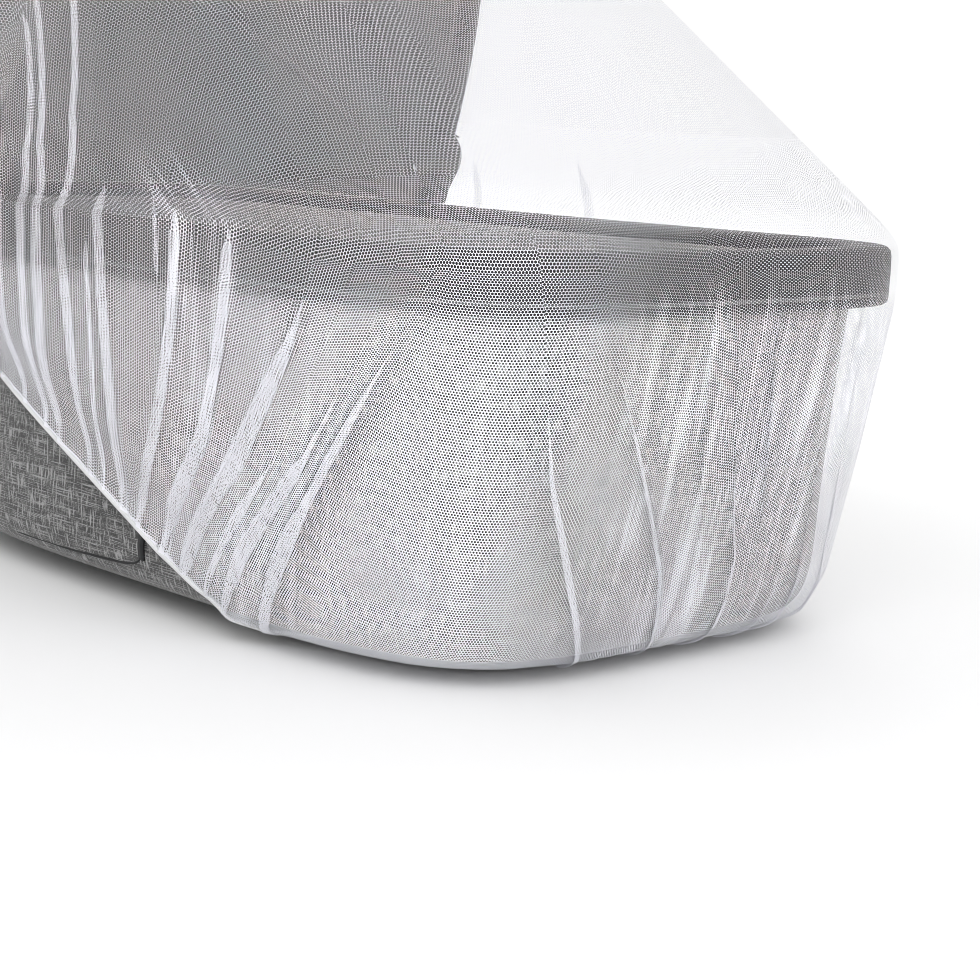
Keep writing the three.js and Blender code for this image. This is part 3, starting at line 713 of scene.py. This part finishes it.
def make_hood(material):
    """Hood cloth: one skin outside and one inside, drawn in a little between the ribs."""
    across_count, back_count = 120, 54
    across = np.linspace(HOOD_CORNER, 1 - HOOD_CORNER, across_count)[None, :]
    back = np.linspace(0, 1, back_count)[:, None]
    stops = np.array([0, *RIB_PLACES, 1])
    part = np.interp(back, stops, np.arange(len(stops)))
    hollow = np.sin((part % 1) * math.pi) ** 2
    crease = 0.5 + 0.5 * np.sin(across * 61 + 5 * np.sin(back * 7))
    low = 1 - smoothstep(0.08, 0.22, np.minimum(across, 1 - across))
    sag = hollow * (3.6 + 1.4 * np.sin(across * 25 + 1)) + low * crease * 1.4
    step_back = HOOD_STEP_BACK * (1 - smoothstep(0.03, 0.1, np.minimum(across, 1 - across))) * (1 - back) ** 2
    skins = []
    for depth in (0, 2.4):
        grid = dome_point(hood_dome(depth), across, back)
        grid[..., 0] -= step_back
        skins.append(grid + grid_normals(grid, (-150, 0, 262)) * -sag[..., None])
    outer, inner = skins
    rows = np.concatenate([outer, inner[:, ::-1]], axis=1)
    count = rows.shape[1]
    faces = grid_faces(back_count, count, closed=True)
    first = [[k + 1, k, count - 1 - k, count - 2 - k] for k in range(across_count - 1)]
    last_row = (back_count - 1) * count
    last = [[last_row + k for k in (face[1], face[0], face[3], face[2])] for face in first]
    all_faces = faces.tolist() + first + last
    flat = np.broadcast_arrays(np.concatenate([across, across[:, ::-1]], 1) * 1000, back * 420)
    uvs = np.concatenate([grid_uvs(faces, *flat).reshape(-1, 2), np.zeros((len(first + last) * 4, 2))])
    piece = make_piece("hood_cover", rows, all_faces, material, ["hood_shell"], uvs)
    return piece


def grid_normals(grid, inside):
    """Normals of a grid of points, pointing away from a place inside it."""
    normals = np.cross(np.gradient(grid, axis=0), np.gradient(grid, axis=1))
    lengths = np.linalg.norm(normals, axis=2, keepdims=True)
    normals = normals / np.maximum(lengths, 1e-6)
    middle = tuple(size // 2 for size in grid.shape[:2])
    outward = np.dot(normals[middle], grid[middle] - np.asarray(inside, float))
    return normals * np.sign(outward)


def make_bow(material):
    path = arch_path(HINGE_Y, NET_RIM, BOW_HEIGHT)
    start = (HINGE_Z + HINGE_HEAD_RADIUS - NET_RIM) / math.cos(BOW_LEAN) + 2 * SEAT_GAP
    centre = path.at(np.linspace(start, path.length - start, 120))
    return make_rod("hood_bow_tube", centre, BOW_TUBE_RADIUS, 20, material, ["hood_bow"])


def make_rib(name, place, material, node):
    dome = hood_dome(HOOD_THICKNESS + RIB_RADIUS + SEAT_GAP)
    centre = dome_point(dome, np.linspace(HOOD_START, 1 - HOOD_START, 90), place)
    return make_rod(name, centre, RIB_RADIUS, 10, material, [node])


def hinge_outline():
    """The hinge in side view: a stem on the rim, under a round head with a flat socket."""
    half, height = 15, 12
    lean = height * math.tan(BOW_LEAN)
    foot_z = RIM_TOP + float(rise_at(HINGE_X, RIM_TOP)) + SEAT_GAP
    head_x = lean_x(HINGE_Z)
    socket_top = HINGE_Z + HINGE_HEAD_RADIUS
    socket = (BOW_TUBE_RADIUS * math.cos(BOW_LEAN), BOW_TUBE_RADIUS * math.sin(BOW_LEAN))

    def arc(from_turn, to_turn):
        angles = np.linspace(from_turn, to_turn, 22) * math.pi
        reach, rise = np.cos(angles) * HINGE_HEAD_RADIUS, np.sin(angles) * HINGE_HEAD_RADIUS
        return list(zip(head_x + reach, HINGE_Z + rise))

    points = [(HINGE_X - half, foot_z), (HINGE_X + half, foot_z)]
    points.append((HINGE_X + half + lean, foot_z + height))
    points += arc(-0.2, 0.34)
    points.append((lean_x(socket_top) + socket[0], socket_top - socket[1]))
    points.append((lean_x(socket_top) - socket[0], socket_top + socket[1]))
    points += arc(0.66, 1.2)
    points.append((HINGE_X - half + lean, foot_z + height))
    return points


def make_hinge(name, side, material, node):
    """A moulded block with softened edges, and a round cap standing out on each side of its head."""
    points = hinge_outline()
    count = len(points)
    half = 10
    centre = np.mean(points, axis=0)
    near_edge = [(-half, 0.93), (-half + 0.7, 0.98), (-half + 2, 1)]
    far_edge = [(-y, shrink) for y, shrink in near_edge[::-1]]
    layers = []
    for y, shrink in near_edge + far_edge:
        layers.append([(mix(centre[0], x, shrink), y, mix(centre[1], z, shrink)) for x, z in points])
    faces = grid_faces(len(layers), count, closed=True).tolist() + end_caps(len(layers), count)
    verts = np.array(layers).reshape(-1, 3).tolist()
    cap_profile = ((14.5, 9.2), (14.5, 11.4), (13.6, 12.3), (11.5, 12.6), (10.6, 12), (3, 11.7))
    for turn in (-1, 1):
        add_cap(verts, faces, cap_profile, turn)
    grid = np.array(verts)
    grid[:, 1] += side * HINGE_Y
    return make_piece(name, grid, faces, material, [node])


def add_cap(verts, faces, profile, turn):
    """Adds a round stepped cap on one side of the hinge's head."""
    sides = 36
    start = len(verts)
    angles = 2 * math.pi * np.arange(sides) / sides
    for radius, y in profile:
        x, z = lean_x(HINGE_Z) + radius * np.cos(angles), HINGE_Z + radius * np.sin(angles)
        verts += np.stack([x, np.full(sides, turn * y), z], -1).tolist()
    lid = end_caps(len(profile), sides)[1]
    for face in [*grid_faces(len(profile), sides, closed=True), lid]:
        face = [start + corner for corner in face]
        faces.append(face if turn < 0 else face[::-1])


# The net

NET_ARCH = arch_path(HALF_WIDTH + NET_CLEARANCE, NET_RIM + float(rise_at(HINGE_X, NET_RIM)), NET_BOW_HEIGHT)
NET_HALVES = (HALF_LENGTH + NET_CLEARANCE, HALF_WIDTH + NET_CLEARANCE)
NET_FOOT = rim_arc(*NET_HALVES, True)
NET_HEAD = rim_arc(*NET_HALVES, False)
NET_DOME = {"arch": NET_ARCH, "rim": NET_HEAD, "rim_z": NET_RIM}


def fall_end(x):
    """How far down NET_FALL the cloth reaches: tucked under at the foot, climbing to the rim at the head."""
    turn = 4
    heights = np.array([row["z"] for row in NET_FALL[: turn + 1]])
    z = np.minimum(HEM_TURN_Z + (HEM_TURN_X - x) * HEM_SLOPE, HEM_HIGHEST)
    climbing = np.interp(-z, -heights, np.arange(turn + 1))
    tucked = turn + 2 * np.clip((x - HEM_TURN_X) / (HEM_TUCKED_X - HEM_TURN_X), 0, 1)
    return np.where(x > HEM_TURN_X, tucked, climbing)


def hug_inset(column, z):
    return inset_at(TUB_OUTSIDE, column, z) + NET_CLEARANCE - NET_THICKNESS / 2 - HEM_HUG


def fall_point(path, distance, share):
    rim = path.at(distance)
    end = fall_end(rim[..., 0])
    row = end * share
    z = table_value(NET_FALL, "z", row)
    end_z = table_value(NET_FALL, "z", end)
    climb = np.clip((end_z - HEM_TURN_Z) / HEM_TURN_Z, 0, 1)
    hug_start = np.minimum(end_z + HEM_HUG_HEIGHT, RIM_BOTTOM - NET_THICKNESS)
    hug = climb * (1 - smoothstep(end_z + HEM_STRAIGHT, hug_start, z))
    foot = mix(table_value(NET_FALL, "foot", row), hug_inset("foot", z), hug)
    side = mix(table_value(NET_FALL, "side", row), hug_inset("side", z), hug)
    x = rim[..., 0] * (1 - foot / NET_HALVES[0])
    y = rim[..., 1] * (1 - side / NET_HALVES[1])
    return np.stack([x, y, z + rise_at(rim[..., 0], z)], -1)


def tent_point(distance, share):
    bow = NET_ARCH.at(distance / NET_FOOT.length * NET_ARCH.length)
    rim = NET_FOOT.at(distance)
    rim[..., 2] = NET_RIM + rise_at(rim[..., 0], NET_RIM)
    return mix(bow, rim, share)


def net_columns():
    """Places of the columns on the cloth, by distance along the rim, closer together in the pleats."""
    in_pleat, spacing = 13, 4.2
    places = [0.0]

    def run_to(end, count=None):
        count = count or max(1, round((end - places[-1]) / spacing))
        places.extend(np.linspace(places[-1], end, count + 1)[1:])

    for row, width in zip(PLEATS, PLEAT_WIDTHS):
        run_to(row["rim"] - width / 2)
        run_to(row["rim"] + width / 2, in_pleat)
    run_to(NET_FOOT.length)
    return np.array(places)


def pleat_marks(place):
    """Distances of all the pleats at one of PLEAT_PLACES, with those of the cloth's two sides."""
    return np.array([0, *[row[place] for row in PLEATS], NET_FOOT.length])


def column_tracks(columns):
    """Where each column runs at each of PLEAT_PLACES: it keeps its place between the pleats beside it."""
    tracks = {}
    for place in PLEAT_PLACES:
        tracks[place] = np.interp(columns, pleat_marks("rim"), pleat_marks(place))
        for row, width in zip(PLEATS, PLEAT_WIDTHS):
            inside = np.abs(columns - row["rim"]) < width * 0.5 + 0.01
            tracks[place][inside] = row[place] + (columns - row["rim"])[inside]
    return tracks


def wall_tracks(tracks, z):
    """Distances along the rim for columns at heights z, a grid of rows by columns."""
    levels = np.stack([tracks[place] for place in PLEAT_PLACES[2:]])
    heights = np.array(WALL_HEIGHTS, float)
    place = np.interp(-z, -heights, np.arange(len(heights)))
    low = np.clip(np.floor(place).astype(int), 0, len(heights) - 2)
    share = place - low
    index = np.arange(levels.shape[1])
    return mix(levels[low, index], levels[low + 1, index], share)


def shares(*runs):
    """The rows' places on a part of the net, from its start, 0, to its end, 1."""
    return np.concatenate([np.linspace(*run) for run in runs])


FALL_SHARES = shares((0, 0.06, 5), (0.09, 0.8, 25), (0.825, 1, 12))
TENT_SHARES = shares((0.03, 0.12, 3), (0.16, 0.88, 20), (0.92, 0.99, 4))
HOOD_SHARES = shares((0.02, 0.08, 3), (0.12, 0.94, 16), (0.975, 0.975, 1))


def net_grid(columns):
    """The smooth sheet, from the foot hem over the bow to the head hem, and each row's run and distances."""
    tracks = column_tracks(columns)
    rows = []
    for share in FALL_SHARES[::-1]:
        distance = tracks["rim"]
        for _ in range(16):
            z = fall_point(NET_FOOT, distance, share)[..., 2]
            distance = mix(distance, wall_tracks(tracks, np.clip(z, HEM_TURN_Z, NET_RIM)), 0.4)
        rows.append((fall_point(NET_FOOT, distance, share), share, distance))
    for share in TENT_SHARES[::-1]:
        track = np.stack([tracks["bow"], tracks["tent"], tracks["rim"]])
        low = min(int(share * 2), 1)
        distance = mix(track[low], track[low + 1], share * 2 - low)
        rows.append((tent_point(distance, share), share - 1, distance))
    rows.append((tent_point(tracks["bow"], 0), -1, tracks["bow"]))
    for share in HOOD_SHARES:
        distance = mix(tracks["bow"], tracks["rim"], share)
        rows.append((dome_point(NET_DOME, distance / NET_FOOT.length, share), -1 - share, distance))
    for share in FALL_SHARES:
        distance = columns
        scale = NET_HEAD.length / NET_FOOT.length
        rows.append((fall_point(NET_HEAD, distance * scale, share), -2 - share, distance))
    points = np.stack([row[0] for row in rows])
    runs = np.array([row[1] for row in rows])
    distances = np.stack([row[2] for row in rows])
    fall = len(FALL_SHARES) - 1
    points[fall : len(rows) - fall, 0] = points[fall, 0]
    points[fall : len(rows) - fall, -1] = points[fall, -1]
    return points, runs, distances


def round_bends(points, runs):
    """Softens the sheet where it turns over the bow and the rim, and under the foot."""
    weight = np.zeros(len(runs))
    for bend, reach in ((-1, 0.1), (0, 0.1), (-2, 0.1), (0.75, 0.3), (-2.75, 0.3)):
        weight = np.maximum(weight, 1 - smoothstep(0, reach, np.abs(runs - bend)))
    for _ in range(6):
        middle = (points[:-2] + points[2:]) / 2
        points[1:-1] += (middle - points[1:-1]) * 0.5 * weight[1:-1, None, None]
    return points


def pleat_fade(row):
    """The run over which a pleat grows to its full width: at once at the bow, slowly round the foot."""
    if row["top"] <= -1:
        return 0.06
    return 0.17 if row["rim"] < FOOT_PLEATS else 0.3


def pleat_strength(row, runs):
    """How far a pleat is folded at each run, from 0 to 1."""
    foot = smoothstep(row["top"] - 0.03, row["top"] + pleat_fade(row), runs)
    foot = foot * (1 - 0.35 * smoothstep(0.86, 1, runs))
    if row["bottom"] < 1:
        foot = foot * (1 - smoothstep(row["bottom"] - 0.12, row["bottom"] + 0.06, runs))
    head = row["head"] * smoothstep(1.9, 2.25, -runs)
    return np.where(runs > -1.5, foot, head)


def add_pleats(columns, runs, distances):
    """Where the pleats bring each point along its row, how far they lift it, and how folded it is there."""
    moved = distances.copy()
    lift = np.zeros_like(distances)
    folded = np.zeros_like(distances)
    for row, width in zip(PLEATS, PLEAT_WIDTHS):
        inside = np.abs(columns - row["rim"]) <= width / 2 + 0.01
        tau = (columns[inside] - row["rim"]) / (width / 2)
        strength = pleat_strength(row, runs)[:, None]
        swing = PLEAT_OVERLAP * strength * np.sin(math.pi * tau)[None, :]
        moved[:, inside] -= swing * width / 2
        profile = smoothstep(-0.62, 0.4, tau) * (1 - smoothstep(0.42, 1, tau))
        lift[:, inside] += strength * profile[None, :] * PLEAT_HEIGHT
        folded[:, inside] = strength
    return moved, lift, folded


# Patches of fine wrinkles: size is how far they stand out, gather how much they close the knit
WRINKLES = as_rows(
    ("start", "end", "top", "bottom", "size", "length", "gather"),
    (560, 900, 0.04, 1.0, 0.7, 17, 0.9),
    (-60, 230, -0.9, 1.0, 0.6, 27, 0.2),
    (200, 330, -0.35, 0.35, 0.9, 15, 1.0),
    (230, 430, 0.1, 1.05, 0.4, 21, 0.45),
    (430, 560, 0.1, 1.05, 0.25, 27, 0.2),
    (860, 1480, 0.02, 1.05, 0.8, 21, 0.7),
    (60, 1330, 0.86, 1.05, 0.8, 17, 0.4),
)


def patch_cover(patch, distances, runs):
    run = runs[:, None]
    sides = smoothstep(patch["start"], patch["start"] + 60, distances)
    sides = sides * (1 - smoothstep(patch["end"] - 60, patch["end"], distances))
    ends = smoothstep(patch["top"], patch["top"] + 0.25, run) * (1 - smoothstep(patch["bottom"], 1.1, run))
    return sides * ends


def wrinkle_field(distances, runs):
    """Soft wrinkles, as an outward shift in millimetres, each patch with its own spacing, and the gathers."""
    total = np.zeros_like(distances)
    gather = np.zeros_like(distances)
    run = runs[:, None]
    for patch in WRINKLES:
        phases = rng.uniform(0, 2 * math.pi, 4)
        scales = (1, 0.73, 1.37, 0.61)
        wave = np.zeros_like(distances)
        for phase, scale in zip(phases, scales):
            drift = 1.1 * np.sin(run * 2.3 + phase * 3) + 0.6 * np.sin(run * 5.1 + phase)
            wave += np.sin(2 * math.pi * distances / (patch["length"] * scale) + phase + drift) / len(scales)
        cover = patch_cover(patch, distances, runs)
        total += wave * patch["size"] * cover
        gather = np.maximum(gather, cover * patch["gather"])
    head = smoothstep(2.0, 2.3, -run)
    total += head * 0.8 * np.sin(distances / 2.6 + 2 * np.sin(distances / 40))
    return total, np.maximum(gather, head * 0.8)


def net_charts(points, runs, distances):
    """Flat places on the cloth: a chart round the walls, one for the hood's sides and one for the top."""
    rim_row = int(np.argmin(np.abs(runs)))
    head_row = int(np.argmin(np.abs(runs + 2)))
    bow_row = int(np.argmin(np.abs(runs + 1)))
    middle = points.shape[1] // 2
    steps = np.linalg.norm(np.diff(points, axis=0), axis=2)
    down = np.concatenate([np.zeros((1, points.shape[1])), np.cumsum(steps, axis=0)])
    depth = np.where((runs > -1)[:, None], down[rim_row] - down, down - down[head_row])
    on_near = distances < NET_FOOT.length / 2
    side_u = np.where(on_near, points[..., 0] - HINGE_X, NET_FOOT.length + HINGE_X - points[..., 0])
    crown = np.broadcast_to((down[:, middle] - down[bow_row, middle])[:, None], depth.shape)
    return (distances, depth), (side_u, NET_RIM - points[..., 2]), (points[..., 1], crown)


def net_uvs(faces, charts, taken_up, runs, columns, side_normal):
    """Each face's place on the flat cloth, in metres, by its chart, the cloth in the pleats and its panel."""
    rows, cols = faces // len(columns), faces % len(columns)
    marks = pleat_marks("rim")
    panel = np.clip(np.searchsorted(marks, columns[cols[:, 0]] + 0.5) - 1, 0, len(marks) - 2)
    middles = (marks[panel] + marks[panel + 1]) / 2
    middle_columns = np.searchsorted(columns, middles)
    extra = (taken_up[rows, cols] - taken_up[rows, middle_columns[:, None]]) * MM
    on_cap = ((runs < -NEAR_RIM) & (runs > -2 + NEAR_RIM))[rows].any(1)[:, None, None]
    on_side = (side_normal > SIDE_FACING)[:, None, None]
    wall, side, top = [grid_uvs(faces, *chart) for chart in charts]
    uvs = np.where(on_cap, np.where(on_side, side, top), wall)
    on_hood = (on_cap & on_side)[..., 0] & (runs <= -1)[rows].all(1)[:, None]
    angle = np.radians(np.interp(middles, KNIT_PLACES, KNIT_TURNS)[:, None] + on_hood * HOOD_TURN)
    stretch = np.interp(middles, KNIT_PLACES, KNIT_STRETCHES)[:, None] * np.where(on_hood, HOOD_STRETCH, 1)
    size = np.interp(middles, KNIT_PLACES, KNIT_SIZES)[:, None]
    u, v = (uvs[..., 0] + extra) / (stretch * size), uvs[..., 1] / size
    return np.stack([u * np.cos(angle) + v * np.sin(angle), v * np.cos(angle) - u * np.sin(angle)], -1)


def make_net(material):
    columns = net_columns()
    smooth, runs, distances = net_grid(columns)
    moved, lift, folded = add_pleats(columns, runs, distances)
    points = round_bends(shifted_grid(smooth, distances, moved), runs)
    normals = grid_normals(round_bends(smooth.copy(), runs), (0, 0, RIM_TOP / 2))
    pleated = np.linalg.norm(np.diff(points + normals * lift[..., None], axis=1), axis=2)
    plain = np.linalg.norm(np.diff(smooth, axis=1), axis=2)
    taken_up = np.concatenate([np.zeros((len(runs), 1)), np.cumsum(pleated - plain, axis=1)], 1)
    wrinkle, gather = wrinkle_field(distances, runs)
    edge_fade = smoothstep(0, 12, np.minimum(columns, NET_FOOT.length - columns))[None, :]
    points = points + normals * ((lift + wrinkle + np.abs(wrinkle)) * edge_fade)[..., None]
    charts = net_charts(smooth, runs, distances)
    faces = grid_faces(*points.shape[:2])
    side_normal = np.abs(normals[..., 1]).ravel()[faces].mean(1)
    uvs = net_uvs(faces, charts, taken_up, runs, columns, side_normal)
    piece = make_piece("net_cloth", points, faces, material, ["net_panel"], uvs)
    set_knit(piece.data, runs, distances, charts[0][1], gather, folded)
    tidy_mesh(piece.data)
    return piece, smooth, runs


def shifted_grid(smooth, distances, moved):
    """Moves each row's points along the row, to where the pleats bring them."""
    result = np.empty_like(smooth)
    for row in range(len(smooth)):
        for axis in range(3):
            result[row, :, axis] = np.interp(moved[row], distances[row], smooth[row, :, axis])
    return result


def set_knit(mesh, runs, distances, depth, gather, folded):
    """How open the knit is, with painted highlight and shade in the hole sizes by place along the rim, how
    much it is gathered, and its place for the streaks of the gathers.
    """
    on_wall = smoothstep(36, 50, depth)
    # Painted highlight and shade: the hole sizes by place make the net lighter by the front corner and darker
    # towards the head and on the foot end.
    on_rim = mix(1, np.interp(distances, OPEN_PLACES, RIM_OPENNESS_WITH_PAINTED_LIGHT), smoothstep(-25, -8, depth))
    below = np.interp(distances, OPEN_PLACES, WALL_OPENNESS_WITH_PAINTED_SHADE)
    value = mix(on_rim, mix(below, FOLD_OPENNESS, folded), on_wall)
    hem = np.minimum(np.abs(runs - 1), np.abs(runs + 3))
    value[hem < SOLID_HEM] = 0
    for name, values in (("openness", value), ("gather", gather)):
        layer = mesh.attributes.new(name, "FLOAT", "POINT")
        layer.data.foreach_set("value", values.ravel().astype(np.float32))
    place = np.stack([distances, depth, np.zeros_like(depth)], -1) * MM
    layer = mesh.attributes.new("place", "FLOAT_VECTOR", "POINT")
    layer.data.foreach_set("vector", place.ravel().astype(np.float32))


def make_elastic(smooth, material):
    """The covered elastic along the hem: the foot row and back along the head row."""
    def beyond(edge, before):
        away = edge - before
        along = np.gradient(edge, axis=0)
        along /= np.maximum(np.linalg.norm(along, axis=1, keepdims=True), 1e-6)
        away -= along * (away * along).sum(1, keepdims=True)
        return edge + away / np.linalg.norm(away, axis=1, keepdims=True) * (ELASTIC_RADIUS * 0.6)

    foot = beyond(smooth[0], smooth[1])
    head = beyond(smooth[-1], smooth[-2])
    path = Path(np.concatenate([foot, head[-2:0:-1], foot[:1]]))
    step, sides = 3, 8
    count = int(path.length / step)
    centre = path.at(np.linspace(0, path.length, count, endpoint=False))
    for _ in range(3):
        centre = (np.roll(centre, 1, 0) + 2 * centre + np.roll(centre, -1, 0)) / 4
    points, faces = tube(centre, ELASTIC_RADIUS, sides, closed=True)
    uvs = tube_uvs(faces, count, sides, step, 1)
    return make_piece("hem_elastic", points, faces, material, ["net_elastic"], uvs)


# Camera, light and floor

def make_camera():
    """The photograph's own viewpoint, found by fitting the rim, hem and hinge."""
    yaw, pitch, roll = 0.7617, 0.1754, 0.0439
    place = Vector((1210.54, -997.03, 340.31))
    focal_pixels, frame_pixels, sensor = 2135.13, 980, 36
    look = Vector((-math.cos(yaw) * math.cos(pitch), math.sin(yaw) * math.cos(pitch), -math.sin(pitch)))
    right = Vector((math.sin(yaw), math.cos(yaw), 0))
    up = right.cross(look)
    tilted_right = right * math.cos(roll) + up * math.sin(roll)
    tilted_up = up * math.cos(roll) - right * math.sin(roll)
    data = bpy.data.cameras.new("view_camera")
    data.sensor_width = sensor
    data.lens = focal_pixels / frame_pixels * sensor
    camera = add_object("view_camera", data)
    axes = Matrix((tilted_right, tilted_up, -look)).transposed().to_4x4()
    camera.matrix_world = Matrix.Translation(place * MM) @ axes
    bpy.context.scene.camera = camera


def make_stage():
    finish = Finish("pale_floor", (0.86, 0.865, 0.87), 0.9)
    finish.clouds(1.5, grey(0.86), grey(0.88))
    away = finish.vector("LENGTH", finish.place())
    # Painted light: the floor glows, more strongly with distance from the cot, so that its far part fades
    # into the white backdrop.
    finish.feed(finish.shader.inputs["Emission Strength"], finish.ramp(away, 0.45, 1.3, 0.0, 0.3))
    finish.shader.inputs["Emission Color"].default_value = (1, 1, 1, 1)
    size = 40
    mesh = bpy.data.meshes.new("floor")
    corners = [(-size, -size, 0), (size, -size, 0), (size, size, 0), (-size, size, 0)]
    mesh.from_pydata(corners, [], [(0, 1, 2, 3)])
    mesh.materials.append(finish.material)
    add_object("floor", mesh)


def make_world():
    """A white studio, dimmer on the camera's side."""
    world = bpy.data.worlds.new("studio")
    world.use_nodes = True
    nodes = Nodes(world.node_tree)
    direction = nodes.node("ShaderNodeTexCoord").outputs["Generated"]
    facing = nodes.vector("DOT_PRODUCT", direction, (-0.72, 0.69, 0))
    background = world.node_tree.nodes["Background"].inputs
    background["Color"].default_value = (1, 1, 1, 1)
    nodes.feed(background["Strength"], nodes.ramp(facing, -0.6, 0.7, 0.68, 1.03))
    bpy.context.scene.world = world


def make_lights():
    for name, place, size, power in (
        ("key_light", (2.1, -1.9, 1.9), 3.0, 68),
        ("side_light", (2.8, 0.6, 1.6), 1.6, 6),
        ("back_light", (-1.6, 2.0, 2.2), 1.8, 10),
    ):
        data = bpy.data.lights.new(name, "AREA")
        data.size = size
        data.energy = power
        light = add_object(name, data)
        light.location = place
        aim = Vector((0, 0, 0.25)) - light.location
        light.rotation_mode = "QUATERNION"
        light.rotation_quaternion = aim.to_track_quat("-Z", "Y")


def main():
    make_camera()
    make_stage()
    make_world()
    make_lights()
    bpy.context.scene.view_settings.view_transform = "Standard"
    bpy.context.scene.cycles.transparent_max_bounces = 24
    bpy.context.scene.cycles.filter_width = 0.9

    grey_cloth = heather("grey_heather", 0.016, 0.29)
    make_tub(grey_cloth)
    make_base(moulded_plastic("base_plastic", 0.06, 0.55))
    trim = satin_trim()
    make_rim(trim)
    make_binding(heather("binding_heather", 0.07, 0.42))
    make_flap_edge(trim)
    make_strap(trim)
    piping = corded("light_piping", (0.13, 0.135, 0.14), 0.0016)
    ring_tube("rim_piping", 1.4, 1.4, 231.6, 1.8, piping, "grey_cloth")
    ring_tube("cover_seam", *cover_insets(SEAM_HEIGHT), SEAM_HEIGHT, 0.8, trim, "dark_trim")
    make_lining(heather("lining_heather", 0.1, 0.38))

    make_hood(heather("hood_heather", 0.022, 0.09, 0.02))
    frame_plastic = moulded_plastic("frame_plastic", 0.03, 0.42)
    make_bow(frame_plastic)
    make_rib("hood_rib_tube_middle", RIB_PLACES[0], frame_plastic, "hood_rib_middle")
    make_rib("hood_rib_tube_rear", RIB_PLACES[1], frame_plastic, "hood_rib_rear")
    make_hinge("hinge_block_near", -1, frame_plastic, "hood_hinge_near")
    make_hinge("hinge_block_far", 1, frame_plastic, "hood_hinge_far")

    net, smooth, runs = make_net(net_finish())
    elastic = make_elastic(smooth, corded("elastic_white", (0.86, 0.87, 0.88), 0.0012))


main()
